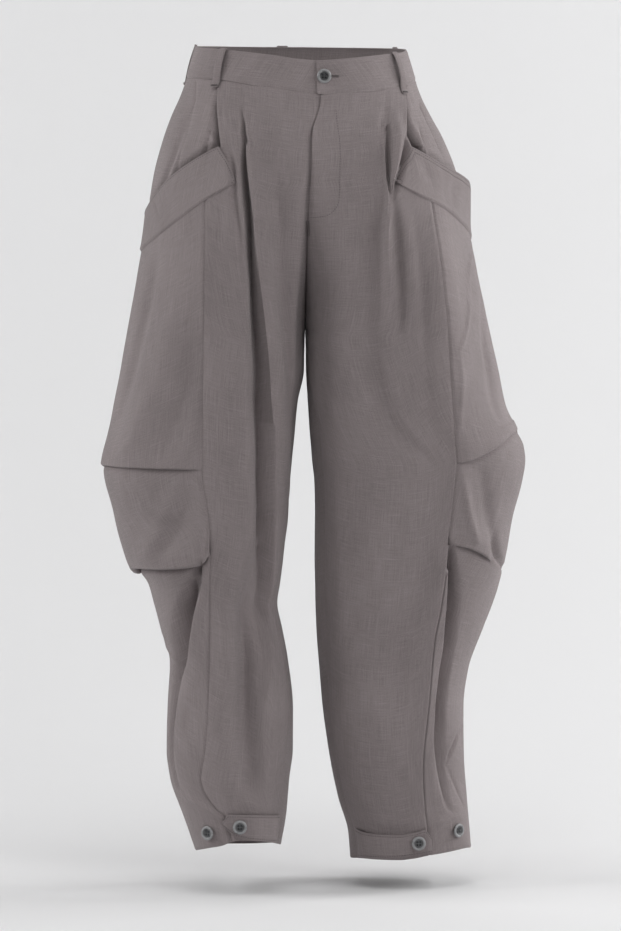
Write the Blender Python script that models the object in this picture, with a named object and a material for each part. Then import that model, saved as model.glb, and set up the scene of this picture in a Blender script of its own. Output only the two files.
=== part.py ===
"""Balloon trousers as worn: pleated fronts, slanted pocket bands, side panels with knee tucks,
and hem tabs that button across the front of each ankle.

Frame: +Z up, the front faces -Y, the origin is the middle of the waistband ring.
All sizes below are millimetres; right and left are the wearer's, so the right leg is at -X.
Each leg is a tube of ovals. An angle on it is 0 at the front, 90 at the outer side, 180 at the
back and -90 at the inner side. Above the crotch the two tubes stop at the centre seams.
"""

import math

import bmesh
import bpy
import numpy as np

# ---- driving sizes (mm) ----
MM = 0.001
CLOTH = 1.2
DOUBLE_CLOTH = 2.2
SEAM_GAP = 0.3
BAND_LAY_GAP = 1.4
TAB_LAY_GAP = 1.6
ROUNDNESS = 2.3
WAIST_LEVEL = -15.0
CROTCH_LEVEL = -336.0
HEM_LEVEL = -970.0
POCKET_TIP_LEVEL = -97.0
PANEL_TOP_LEVEL = -230.0
WAIST_FADE = 95.0
HEM_FADE = 90.0
FLY_LAP = 9.0
FLY_RISE = 1.9
FLY_END_LEVELS = (-214.0, -190.0)
FLY_RISE_LEVELS = (-245.0, -225.0)
FRONT_RADIUS = 130.0
BUTTON_WIDTH = 17.5
HEM_BUTTON_WIDTH = 17.5
LOOP_WIDTH = 12.0

CLOTH_COLOUR = (0.205, 0.180, 0.180, 1.0)
BUTTON_COLOUR = (0.160, 0.165, 0.170, 1.0)

# ---- leg ovals: outer and inner are distances from the waist's middle towards that leg's side,
# ---- front and back are depths ----
SECTION_NAMES = ("height", "outer", "inner", "front", "back")
RIGHT_SECTIONS = (
    (28, 129, -129, -93, 92),
    (-12, 141, -141, -98, 97),
    (-36, 150, -150, -104, 103),
    (-60, 161, -136, -109, 108),
    (-85, 170, -112, -114, 114),
    (-130, 182, -77, -119, 124),
    (-200, 193.5, -40, -122, 131),
    (-250, 202.5, -19, -122, 128),
    (-300, 211.5, -8, -119, 120),
    (-336, 218, -5, -117, 115),
    (-375, 225, -4, -116, 111),
    (-415, 233, 4, -115, 108),
    (-455, 239.5, 8, -115, 106),
    (-497, 246, 12, -115, 104),
    (-555, 231, 17, -112, 100),
    (-600, 213, 22, -109, 98),
    (-620, 204, 24, -107, 97),
    (-640, 190.5, 27, -103, 96),
    (-663, 184, 30, -100, 95),
    (-700, 174.5, 23, -98, 92),
    (-737, 164, 16, -97, 88),
    (-800, 167, 9, -98, 82),
    (-850, 168, 9.5, -99, 76),
    (-885, 163, 14, -99, 70),
    (-930, 147, 18, -98, 62),
    (-985, 128, 28, -96, 55),
)
LEFT_SECTIONS = (
    (28, 129, -129, -93, 92),
    (-12, 141, -141, -98, 97),
    (-36, 150, -150, -104, 103),
    (-60, 162, -137, -109, 108),
    (-85, 176, -114, -113, 114),
    (-130, 194, -78, -118, 124),
    (-200, 209, -34, -119, 131),
    (-250, 220, -10, -118, 128),
    (-300, 230.5, 3, -114, 121),
    (-336, 238.5, 6, -111, 117),
    (-375, 247, 7, -108, 114),
    (-415, 255, 9.5, -105, 111),
    (-450, 269.5, 11.5, -103, 110),
    (-470, 279, 13, -102, 109.5),
    (-487, 281, 14, -101, 109),
    (-512, 277.5, 16.5, -99, 108),
    (-560, 265, 18, -95, 106),
    (-605, 257, 18, -90, 104),
    (-650, 246.5, 18.5, -84, 102),
    (-700, 228.5, 20, -78, 99),
    (-750, 211, 23.5, -71, 96),
    (-800, 205, 27.5, -64, 92),
    (-862, 205.5, 36.5, -55, 87),
    (-912, 209, 47, -48, 82),
    (-957, 213, 60, -43, 77),
    (-990, 216, 63, -40, 75),
)

# ---- waist: turn round the ring from the front towards +X, height of seam and of top edge ----
WAIST_NAMES = ("turn", "seam", "top")
WAIST_LINE = (
    (-180, -6, 30),
    (-135, -6, 30),
    (-90, -9, 28),
    (-73, -10.5, 25.5),
    (-43, -13.5, 21.5),
    (-12, -24.5, 14),
    (7, -32, 7.5),
    (26, -30, 11),
    (52, -22.5, 16.5),
    (71, -17.5, 19.5),
    (90, -13, 24),
    (135, -8, 28),
    (180, -6, 30),
)

# ---- hems: angle on the leg and height ----
HEM_NAMES = ("angle", "height")
RIGHT_HEM = (
    (-90, -969), (-65, -962), (-31, -954), (-4, -951.5), (15, -958.5), (33, -962.5), (65, -970),
    (90, -975), (180, -980), (270, -969),
)
LEFT_HEM = (
    (-90, -991), (-46, -986), (-9, -985.5), (16, -979), (60, -974.5), (90, -978), (180, -990),
    (270, -991),
)

# ---- seams by height. The centre seams are given by x; across is measured towards the leg's side
# ---- from the waist's middle; an angle is one on the leg ----
CENTRE_NAMES = ("height", "front_x", "back_x")
CENTRE_SEAM = (
    (30, 26, -24),
    (-30, 24, -21),
    (-75, 15, -16),
    (-130, 13, -11),
    (-170, 10, -7),
    (-230, 8, -1),
    (-300, 6, 4),
    (-336, 5.5, 5.5),
)
INSEAM_NAMES = ("height", "angle")
RIGHT_INSEAM = ((-336, -90), (-400, -80), (-500, -76), (-790, -74), (-850, -62), (-911, -57), (-985, -62))
LEFT_INSEAM = ((-336, -90), (-400, -74), (-450, -64), (-985, -62))
SIDE_SEAM = ((30, 97), (-12, 97), (-200, 104), (-500, 108), (-700, 106), (-985, 100))
PANEL_SEAM_NAMES = ("height", "across")
RIGHT_PANEL_SEAM = (
    (-150, 115.5), (-250, 117), (-358, 118.5), (-492, 120), (-546, 113), (-598, 110.5), (-660, 111),
    (-741, 112), (-798, 114), (-842, 117.5), (-875, 122.5), (-886, 120), (-916, 103), (-926, 94.5),
    (-940, 87), (-972, 82.5),
)
LEFT_PANEL_SEAM = (
    (-150, 158.5), (-169, 160), (-244, 168), (-314, 174.5), (-396, 181), (-455, 187), (-483, 190),
    (-518, 187.5), (-595, 180.5), (-671, 171), (-706, 165), (-789, 158), (-866, 152.5), (-908, 154),
    (-938, 156.5), (-979, 161),
)

# ---- pleats: the fold lines that start at the waistband ----
RIGHT_FRONT_PLEAT = (
    (30, 75), (-45, 74), (-56, 72), (-140, 66), (-225, 57), (-287, 53), (-412, 54), (-512, 56),
    (-687, 61), (-985, 66),
)
LEFT_FRONT_PLEAT = (
    (30, 108), (-45, 109), (-100, 110), (-154, 112), (-222, 111), (-302, 113), (-361, 119),
    (-431, 129), (-560, 132), (-985, 128),
)
RIGHT_HIP_PLEAT = ((30, 126), (-32, 129), (-126, 153), (-310, 160))
LEFT_HIP_PLEAT = ((30, 134), (-44, 147), (-122, 181), (-310, 190))
RIGHT_HIP_EDGE = ((30, 102.5), (-46, 102.5), (-71, 100), (-97, 97))
LEFT_HIP_EDGE = ((30, 127.5), (-49, 127.5), (-79, 128.5), (-97, 136))

# ---- pocket bands: angle on the leg, height of the opening's edge and of the lower seam, and how
# ---- far the opening's edge stands out ----
BAND_NAMES = ("angle", "top", "bottom", "stand")
RIGHT_BAND = (
    (8, -141, -146, 3),
    (11, -128, -148, 3),
    (16, -114, -155, 3),
    (24, -97, -167, 3),
    (32, -108, -180, 4),
    (40, -120, -191, 4.5),
    (50, -134, -203, 4),
    (62, -151, -214, 3),
    (76, -167, -223, 3),
    (90, -178, -227, 3),
    (103, -185, -226, 3),
)
LEFT_BAND = (
    (20, -137, -143, 3),
    (23.5, -129, -147.5, 3),
    (27, -121, -152, 3),
    (33, -109, -159, 3),
    (39, -97, -165, 3),
    (46, -106, -171, 4),
    (54, -116, -179, 5),
    (62, -124, -187, 8),
    (71, -131, -195, 11),
    (83, -140, -204, 14),
    (93, -149, -212, 12),
    (103, -158, -220, 6),
)
BAND_LAP = 6.0
# the front's edge goes this many degrees under the band, the hip piece this many behind the tip
UNDER_BAND_TURN = 3.0
POCKET_BOTTOM = -300.0
# the left wall is shallower: the thigh is closer behind it there
POCKET_DIVE = {"right": 14.0, "left": 10.5}
POCKET_EDGE_DIVE = 3.4
POCKET_SLOPE = 40.0
POCKET_CLOSING = 30.0
POCKET_FRONT_TURN = 5.0
POCKET_BACK_TURNS = (92.0, 100.0)
# the band stands this far at its sewn ends; a larger "stand" opens the pocket's mouth
BAND_SEWN_STAND = 3.0

# ---- waistband and its belt loops, in turns round the ring (degrees) ----
BAND_END_TURN = 6.1
BAND_LAP_TURN = 20.0
BAND_LIFT = 0.7
LOOP_THICK = 1.6
WAIST_RADIUS = 125.0
LOOP_TURNS = (-42.5, 57, 118, 188, -98)
# how far each loop bows out, as a share of the most
LOOP_BOWS = (0.8, 1.0, 0.7, 0.8, 0.3)
WAIST_BUTTON_TURN = 9.2
WAIST_BUTTON_HEIGHT = -12.0

# ---- hem tabs: from the inseam end to the pointed end ----
TAB_NAMES = ("across", "top", "bottom")
RIGHT_TAB = (
    (29, -924.5, -959),
    (49.5, -920.5, -953),
    (65.5, -919, -950),
    (79.5, -918.5, -947),
    (88, -918.5, -941),
    (94.5, -928, -934),
)
LEFT_TAB = (
    (72.5, -949, -984.5),
    (84, -952, -984),
    (106.5, -953, -983.5),
    (128, -953, -981),
    (148.5, -948.5, -978),
    (157, -946, -976.5),
    (163.5, -956, -975.5),
)
TAB_COLUMNS = 12
# ---- hem buttons: across, height and how far out they sit ----
RIGHT_BUTTONS = ((75, -934, 4.2), (113.5, -943, 0.8))
LEFT_BUTTONS = ((147, -963, 4.2), (196, -950, 0.8))

# ---- a button from its sunk middle over the rim to its flat back: share of radius, height ----
BUTTON_RINGS = ((0, 1.6), (0.6, 1.6), (0.74, 2.9), (0.92, 3.0), (1.0, 2.0), (0.9, 0.4), (0, 0.4))
BUTTON_SIDES = 12

# ---- the folds that open below the stitched pleats: height, depth (inward) and half width ----
PLEAT_FOLD_NAMES = ("height", "depth", "width")
RIGHT_PLEAT_FOLDS = {
    "pleat": ((-36, 2, 6), (-62, 3, 6), (-130, 8, 9), (-225, 12, 11), (-300, 11, 13), (-412, 8, 17),
              (-560, 5, 22), (-740, 0, 22)),
    "hip_pleat": ((-30, 2, 8), (-62, 4, 9), (-97, 5, 11), (-140, 3, 13), (-200, 0, 13)),
}
LEFT_PLEAT_FOLDS = {
    "pleat": ((-36, 2, 6), (-62, 4, 6), (-97, 6, 7), (-150, 6, 7), (-200, 2, 8), (-230, 0, 8)),
    "hip_pleat": ((-44, 2, 8), (-75, 4, 9), (-100, 5, 10), (-140, 3, 12), (-200, 0, 13)),
}

# ---- soft folds of each leg: rows of height, angle, depth (inward) and half width ----
FOLD_NAMES = ("height", "angle", "depth", "width")

# ---- knee tucks: level at the seams, how far the lip stands out, and how far its line rises ----
# ---- at each of the shares across the panel ----
TUCK_SHARES = (0, 0.06, 0.2, 0.35, 0.5, 0.65, 0.8, 0.94, 1)
TUCK_NAMES = ("level", "lip", "rise")
RIGHT_TUCKS = (
    (-500, 4.0, (0, 3, 6, 6, 6, 6, 5, 2, 0)),
    (-606, 7.0, (0, 2, 0, -5, -11, -15, -20, -8, 0)),
)
LEFT_TUCKS = (
    (-491, 4.5, (0, 4, 11, 18, 27, 36, 40, 16, 0)),
    (-594, 5.0, (0, 4, 4, 0, -8, -14, -18, -8, 0)),
)


def table(names, rows):
    """Rows of numbers as one array for each named column, in rising order of the first column."""
    ordered = np.array(sorted(rows), float)
    return {name: ordered[:, i] for i, name in enumerate(names)}


def smooth(xs, ys, at):
    """A curve through the table's points that never overshoots them."""
    at = np.clip(np.asarray(at, float), xs[0], xs[-1])
    step = np.diff(xs)
    slope = np.diff(ys) / step
    joined = slope[:-1] * slope[1:]
    mean = np.where(joined > 0, 2 * joined / np.where(joined > 0, slope[:-1] + slope[1:], 1), 0)
    tangent = np.concatenate([[slope[0]], mean, [slope[-1]]])
    i = np.clip(np.searchsorted(xs, at, side="right") - 1, 0, len(step) - 1)
    t = (at - xs[i]) / step[i]
    rise = ys[i] + step[i] * t * (1 - t) ** 2 * tangent[i] - step[i] * t**2 * (1 - t) * tangent[i + 1]
    return rise + t**2 * (3 - 2 * t) * (ys[i + 1] - ys[i])


def ease(value, low, high):
    """0 at low, 1 at high, smooth between."""
    t = np.clip((np.asarray(value, float) - low) / (high - low), 0, 1)
    return t * t * (3 - 2 * t)


def signed_power(value, power):
    """A power of the size of a value, with the value's own sign."""
    return np.sign(value) * np.abs(value) ** power


class Leg:
    """One leg's tube of ovals, with its seams, folds and tucks."""

    def __init__(self, name, side, **tables):
        self.name = name
        self.side = side
        self.sections = table(SECTION_NAMES, tables["sections"])
        self.hem = table(HEM_NAMES, tables["hem"])
        self.inseam = table(INSEAM_NAMES, tables["inseam"])
        self.panel_seam = table(PANEL_SEAM_NAMES, tables["panel_seam"])
        self.pleats = {key: table(PANEL_SEAM_NAMES, rows) for key, rows in tables["pleats"].items()}
        self.band = table(BAND_NAMES, tables["band"])
        self.folds = [table(FOLD_NAMES, rows) for rows in tables["folds"]]
        self.pleat_folds = {k: table(PLEAT_FOLD_NAMES, rows) for k, rows in tables["pleat_folds"].items()}
        self.tucks = [dict(zip(TUCK_NAMES, row)) for row in tables["tucks"]]

    def oval(self, height):
        """Middle across, half width, middle depth and half depth at a height."""
        parts = [smooth(self.sections["height"], self.sections[n], height) for n in SECTION_NAMES[1:]]
        outer, inner, front, back = parts
        return (outer + inner) / 2, (outer - inner) / 2, (front + back) / 2, (back - front) / 2

    def angle_at(self, across, height, behind=False):
        """The angle of the point on the front, or behind, that lies so far across."""
        middle, half, _, _ = self.oval(height)
        sine = signed_power(np.clip((across - middle) / half, -1, 1), ROUNDNESS / 2)
        angle = np.degrees(np.arcsin(sine))
        return 180 - angle if behind else angle

    def skin(self, angle, height):
        """Points (..., 3) of the smooth oval and its level outward normals."""
        middle, half, depth_middle, half_depth = self.oval(height)
        sine = np.sin(np.radians(angle))
        cosine = np.cos(np.radians(angle))
        across = middle + half * signed_power(sine, 2 / ROUNDNESS)
        depth = depth_middle - half_depth * signed_power(cosine, 2 / ROUNDNESS)
        out_x = signed_power(sine, 2 - 2 / ROUNDNESS) / half
        out_y = -signed_power(cosine, 2 - 2 / ROUNDNESS) / half_depth
        size = np.hypot(out_x, out_y)
        flat = np.zeros_like(across)
        normal = np.stack([self.side * out_x / size, out_y / size, flat], -1)
        return np.stack([self.side * across, depth, height + flat], -1), normal

    def height_of(self, level, angle):
        """A level drawn to the dipped waist seam at the top and the tilted hem at the bottom."""
        turn = (self.side * angle + 180) % 360 - 180
        seam = smooth(WAIST["turn"], WAIST["seam"], turn)
        around = (angle + 90) % 360 - 90
        hem = smooth(self.hem["angle"], self.hem["height"], around)
        at_waist = ease(level, WAIST_LEVEL - WAIST_FADE, WAIST_LEVEL)
        at_hem = ease(-level, -HEM_LEVEL - HEM_FADE, -HEM_LEVEL)
        return level + (seam - WAIST_LEVEL) * at_waist + (hem - HEM_LEVEL) * at_hem

    def front_centre(self, level):
        """Angle of the front panel's inner edge."""
        return self.closing_seam(level, behind=False)

    def back_centre(self, level):
        """Angle of the back panel's inner edge."""
        return self.closing_seam(level, behind=True)

    def closing_seam(self, level, behind):
        """Angle of the centre seam above the crotch and of the inseam below it."""
        x = smooth(CENTRE["height"], CENTRE["back_x" if behind else "front_x"], level)
        upper = self.angle_at(self.side * x, level, behind)
        lower = smooth(self.inseam["height"], self.inseam["angle"], level) + (360 if behind else 0)
        return np.where(level > CROTCH_LEVEL, upper, lower)

    def seam_angle(self, name, level):
        """Angle of a named seam or pleat line at a level."""
        if name == "front":
            return self.front_centre(level)
        if name == "back":
            return self.back_centre(level)
        if name == "side":
            return smooth(SIDE["height"], SIDE["angle"], level)
        rows = self.panel_seam if name == "panel" else self.pleats[name]
        return self.angle_at(smooth(rows["height"], rows["across"], level), level)

    def fold_depth(self, angle, height):
        """How far the soft folds push the cloth in."""
        _, half, _, half_depth = self.oval(height)
        depth = np.zeros_like(height + angle)
        folds = [(fold, smooth(fold["height"], fold["angle"], height)) for fold in self.folds]
        folds += [(fold, self.seam_angle(name, height)) for name, fold in self.pleat_folds.items()]
        for fold, centre in folds:
            reach = smooth(fold["height"], fold["width"], height)
            turn = np.radians((angle - centre + 180) % 360 - 180)
            arc = turn * np.hypot(half * np.cos(np.radians(angle)), half_depth * np.sin(np.radians(angle)))
            inside = (height >= fold["height"][0]) & (height <= fold["height"][-1])
            size = smooth(fold["height"], fold["depth"], height) * inside
            depth = depth + size * np.exp(-((arc / reach) ** 2))
        return depth

    def cloth(self, angle, level, lift=0.0):
        """Points of the folded cloth's outer face, moved out by lift, and level normals."""
        return self.cloth_at(angle, level, self.height_of(level, angle), lift)

    def cloth_at(self, angle, level, height, lift=0.0):
        """The same for cloth whose height is given, as where it droops or lies on other cloth."""
        points, normal = self.skin(angle, height)
        out = lift - self.fold_depth(angle, height)
        points = points + normal * np.expand_dims(out, -1) + self.to_partner(angle, level)
        points[..., 1] -= self.fly_lift(angle, level)
        return points, normal

    def to_partner(self, angle, level):
        """Draws both legs to one line along the centre seams, where their ovals differ a little."""
        moved = 0.0
        for behind in (False, True):
            seam = self.closing_seam(level, behind)
            theirs = self.partner.closing_seam(level, behind)
            own_point, _ = self.skin(seam, self.height_of(level, seam))
            their_point, _ = self.partner.skin(theirs, self.partner.height_of(level, theirs))
            halfway = (their_point - own_point) / 2
            away = (seam - angle) if behind else (angle - seam)
            near = 1 - ease(away, 0, 45)
            across = near * ease(level, CROTCH_LEVEL + 24, CROTCH_LEVEL + 46)
            down = near * ease(level, CROTCH_LEVEL - 70, CROTCH_LEVEL - 10)
            moved = moved + halfway * np.stack([across, down, down], -1)
        return moved

    def fly_lift(self, angle, level):
        """The left front stands over the right one along the fly."""
        if self.side < 0:
            return np.zeros_like(angle + level)
        near = 1 - ease(np.radians(angle - self.front_centre(level)) * FRONT_RADIUS, 11, 65)
        return FLY_RISE * near * ease(level, *FLY_RISE_LEVELS)


WAIST = table(WAIST_NAMES, WAIST_LINE)
CENTRE = table(CENTRE_NAMES, CENTRE_SEAM)
SIDE = table(INSEAM_NAMES, SIDE_SEAM)

RIGHT_FOLDS = (
    ((-625, 66, 0, 22), (-665, 58, 16, 26), (-740, 56, 16, 20), (-840, 57, 11, 18), (-930, 40, 0, 16)),
    ((-640, -70, 0, 12), (-690, -60, 7, 14), (-790, -48, 5, 14), (-880, -40, 0, 14)),
    ((-60, 150, 0, 18), (-240, 152, 8, 20), (-420, 150, 7, 24), (-640, 146, 0, 24)),
    ((-330, 205, 0, 16), (-430, 208, 9, 18), (-560, 205, 10, 20), (-720, 198, 4, 20), (-820, 196, 0, 20)),
    ((-620, 128, 0, 20), (-700, 132, 8, 22), (-800, 128, 7, 20), (-930, 124, 0, 20)),
)
LEFT_FOLDS = (
    ((-150, 30, 0, 10), (-240, 12, 6, 16), (-420, 4, 8, 22), (-600, 2, 5, 26), (-760, -4, 0, 26)),
    ((-596, 52, 0, 9), (-650, 48, 10, 12), (-720, 48, 13, 14), (-800, 43, 12, 13), (-890, 42, 9, 12),
     (-945, 40, 0, 10)),
    ((-60, 150, 0, 18), (-240, 153, 8, 20), (-430, 150, 7, 24), (-650, 146, 0, 24)),
    ((-330, 203, 0, 16), (-440, 207, 9, 18), (-570, 204, 10, 20), (-740, 198, 4, 20), (-830, 196, 0, 20)),
    ((-630, 126, 0, 20), (-710, 130, 8, 22), (-820, 126, 7, 20), (-940, 122, 0, 20)),
)

LEGS = (
    Leg(
        "right",
        -1,
        sections=RIGHT_SECTIONS,
        hem=RIGHT_HEM,
        inseam=RIGHT_INSEAM,
        panel_seam=RIGHT_PANEL_SEAM,
        pleats={"pleat": RIGHT_FRONT_PLEAT, "hip_pleat": RIGHT_HIP_PLEAT, "hip_edge": RIGHT_HIP_EDGE},
        band=RIGHT_BAND,
        folds=RIGHT_FOLDS,
        pleat_folds=RIGHT_PLEAT_FOLDS,
        tucks=RIGHT_TUCKS,
    ),
    Leg(
        "left",
        1,
        sections=LEFT_SECTIONS,
        hem=LEFT_HEM,
        inseam=LEFT_INSEAM,
        panel_seam=LEFT_PANEL_SEAM,
        pleats={"pleat": LEFT_FRONT_PLEAT, "hip_pleat": LEFT_HIP_PLEAT, "hip_edge": LEFT_HIP_EDGE},
        band=LEFT_BAND,
        folds=LEFT_FOLDS,
        pleat_folds=LEFT_PLEAT_FOLDS,
        tucks=LEFT_TUCKS,
    ),
)

LEGS[0].partner = LEGS[1]
LEGS[1].partner = LEGS[0]

UPPER_LEVELS = (WAIST_LEVEL, -36, -62, -97, -130, -165, -190, -214, PANEL_TOP_LEVEL)
MIDDLE_LEVELS = (-262, -290, -312, -327, CROTCH_LEVEL, -360, -400, -440)
KNEE_LEVELS = (-470, -525, -560)
LOWER_LEVELS = (-635, -660, -695, -740, -790, -840, -885, -930, HEM_LEVEL)
TUCK_HALF_ROW = 3.0
TUCK_REACH = 70.0
TUCK_DRAW = 50.0
PLEAT_COLUMN = 6.0


def seam_levels(leg):
    """The levels that all panels of a leg share at their seams, with two at each knee tuck."""
    tucks = [tuck["level"] + off for tuck in leg.tucks for off in (TUCK_HALF_ROW, -TUCK_HALF_ROW)]
    levels = UPPER_LEVELS + MIDDLE_LEVELS + KNEE_LEVELS + LOWER_LEVELS
    return np.array(sorted(levels + tuple(tucks), reverse=True), float)


# ---- solids from grids ----
def unit(vectors):
    """The same directions with length 1."""
    return vectors / np.maximum(np.linalg.norm(vectors, axis=-1, keepdims=True), 1e-9)


def face_normals(points, side):
    """Normals of a grid whose rows go down and whose columns go from front to outer side."""
    down = np.gradient(points, axis=0)
    round_ = np.gradient(points, axis=1)
    return unit(side * np.cross(down, round_))


def drawn_in(points, gap):
    """The grid with all four edges moved in by half a gap."""
    grid = points.copy()
    half = gap / 2
    grid[0] += half * unit(points[1] - points[0])
    grid[-1] += half * unit(points[-2] - points[-1])
    grid[:, 0] += half * unit(points[:, 1] - points[:, 0])
    grid[:, -1] += half * unit(points[:, -2] - points[:, -1])
    return grid


def wall(points, inward, thick):
    """A closed wall between a grid of points and the same grid moved inward."""
    rows, columns = points.shape[:2]
    inner = points + inward * thick
    vertices = np.concatenate([points.reshape(-1, 3), inner.reshape(-1, 3)])
    under = rows * columns

    def at(row, column):
        return row * columns + column

    faces = []
    for r in range(rows - 1):
        for c in range(columns - 1):
            quad = (at(r, c), at(r + 1, c), at(r + 1, c + 1), at(r, c + 1))
            faces.append(quad)
            faces.append(tuple(under + v for v in reversed(quad)))
    edge = [at(0, c) for c in range(columns)]
    edge += [at(r, columns - 1) for r in range(1, rows)]
    edge += [at(rows - 1, c) for c in range(columns - 2, -1, -1)]
    edge += [at(r, 0) for r in range(rows - 2, 0, -1)]
    for first, second in zip(edge, edge[1:] + edge[:1]):
        faces.append((first, second, under + second, under + first))
    return vertices, faces


def material(name, colour, roughness):
    """A Principled material of one colour."""
    made = bpy.data.materials.new(name)
    made.use_nodes = True
    shader = made.node_tree.nodes["Principled BSDF"]
    shader.inputs["Base Color"].default_value = colour
    shader.inputs["Roughness"].default_value = roughness
    shader.inputs["Metallic"].default_value = 0.0
    return made


def add_object(name, vertices, faces, colour, roughness):
    """A named object whose faces all point out."""
    mesh = bpy.data.meshes.new(name)
    mesh.from_pydata((np.asarray(vertices) * MM).tolist(), [], faces)
    shape = bmesh.new()
    shape.from_mesh(mesh)
    bmesh.ops.triangulate(shape, faces=shape.faces[:], quad_method="BEAUTY")
    bmesh.ops.recalc_face_normals(shape, faces=shape.faces[:])
    if shape.calc_volume(signed=True) < 0:
        bmesh.ops.reverse_faces(shape, faces=shape.faces[:])
    shape.to_mesh(mesh)
    shape.free()
    mesh.shade_smooth()
    mesh.set_sharp_from_angle(angle=math.radians(50))
    mesh.materials.append(material(name + "_finish", colour, roughness))
    made = bpy.data.objects.new(name, mesh)
    bpy.context.scene.collection.objects.link(made)
    return made


def add_panel(name, points, side, common=None, thick=CLOTH):
    """A cloth panel. At its seams the wall goes straight in, along the normals both panels share."""
    grid = drawn_in(points, SEAM_GAP)
    inward = -face_normals(points, side)
    if common is not None:
        for column in (0, -1):
            inward[:, column] = -common[:, column]
            # at a centre seam the wall never leans over the seam's plane
            leaning = (np.abs(points[:, column, 0]) < 40) & (side * inward[:, column, 0] < 0)
            inward[leaning, column, 0] = 0
    vertices, faces = wall(grid, inward, thick)
    return add_object(name, vertices, faces, CLOTH_COLOUR, 0.85)


def columns_between(guides, parts):
    """Angles from guide to guide, each stretch in its own number of equal parts."""
    columns = []
    for i, count in enumerate(parts):
        start, end = guides[i], guides[i + 1]
        columns += [start + (end - start) * k / count for k in range(count)]
    columns.append(guides[-1])
    return np.stack(np.broadcast_arrays(*columns), -1)


def level_grid(angles, levels):
    """Each row's level, repeated along its row of angles."""
    return np.broadcast_to(np.asarray(levels, float)[:, None], angles.shape)


# ---- panels ----
def band_edge(leg, edge, angle):
    """Height of the pocket band's top or bottom edge at an angle."""
    return np.interp(angle, leg.band["angle"], leg.band[edge])


def front_panel(leg):
    """From the centre front and inseam to the hip edge, the pocket band and the panel seam."""
    levels = seam_levels(leg)
    start = leg.seam_angle("front", levels)
    if leg.side < 0:
        lap = FLY_LAP * ease(levels, *FLY_END_LEVELS)
        start = start - np.degrees(lap / FRONT_RADIUS)
    pleat = leg.seam_angle("pleat", levels)
    hip_edge = leg.seam_angle("hip_edge", levels)
    panel = leg.seam_angle("panel", levels)
    band_angle = leg.band["angle"]
    tip = band_angle[np.argmax(leg.band["top"])]
    rising = band_angle <= tip
    # beside the pocket band the front goes a little way under it
    under_band = np.interp(levels, leg.band["top"][rising], band_angle[rising]) + UNDER_BAND_TURN
    # below the band it goes on to the panel seam, along the band's lower edge
    below_band = np.interp(-levels, -leg.band["bottom"] - BAND_LAP, band_angle)
    end = np.maximum(np.minimum(under_band, tip), below_band)
    end = np.where(levels >= POCKET_TIP_LEVEL, hip_edge, np.where(below_band < panel, end, panel))
    fold = np.minimum(PLEAT_COLUMN, (end - pleat) / 3)
    angles = columns_between((start, pleat - fold, pleat, pleat + fold, end), (4, 1, 1, 4))
    points, common = leg.cloth(angles, level_grid(angles, levels))
    return add_panel("front_" + leg.name, points, leg.side, common)


def back_panel(leg):
    """From the side seam to the centre back and inseam."""
    levels = seam_levels(leg)
    start = leg.seam_angle("side", levels)
    end = leg.seam_angle("back", levels)
    angles = columns_between((start, end), (8,))
    points, common = leg.cloth(angles, level_grid(angles, levels))
    return add_panel("back_" + leg.name, points, leg.side, common)


def hip_piece(leg):
    """Pleated cloth behind the pocket opening, which runs on down as the pocket's back wall."""
    levels = np.array(UPPER_LEVELS + (-262, POCKET_BOTTOM), float)
    tip = leg.band["angle"][np.argmax(leg.band["top"])]
    start = np.where(levels >= POCKET_TIP_LEVEL, leg.seam_angle("hip_edge", levels), tip - UNDER_BAND_TURN)
    pleat = leg.seam_angle("hip_pleat", levels)
    end = leg.seam_angle("side", levels)
    angles = columns_between((start, pleat, end), (3, 4))
    levels = level_grid(angles, levels)
    deep = POCKET_DIVE[leg.name]
    below = ease(band_edge(leg, "top", angles) + deep - levels, 0, POCKET_SLOPE)
    closed = 1 - ease(levels, POCKET_BOTTOM, POCKET_BOTTOM + POCKET_CLOSING)
    closed = np.maximum(closed, 1 - ease(angles, tip - UNDER_BAND_TURN, tip + POCKET_FRONT_TURN))
    closed = np.maximum(closed, ease(angles, *POCKET_BACK_TURNS))
    dive = below * (deep + (POCKET_EDGE_DIVE - deep) * closed)
    points, common = leg.cloth(angles, levels, -dive)
    return add_panel("hip_" + leg.name, points, leg.side, common)


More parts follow.
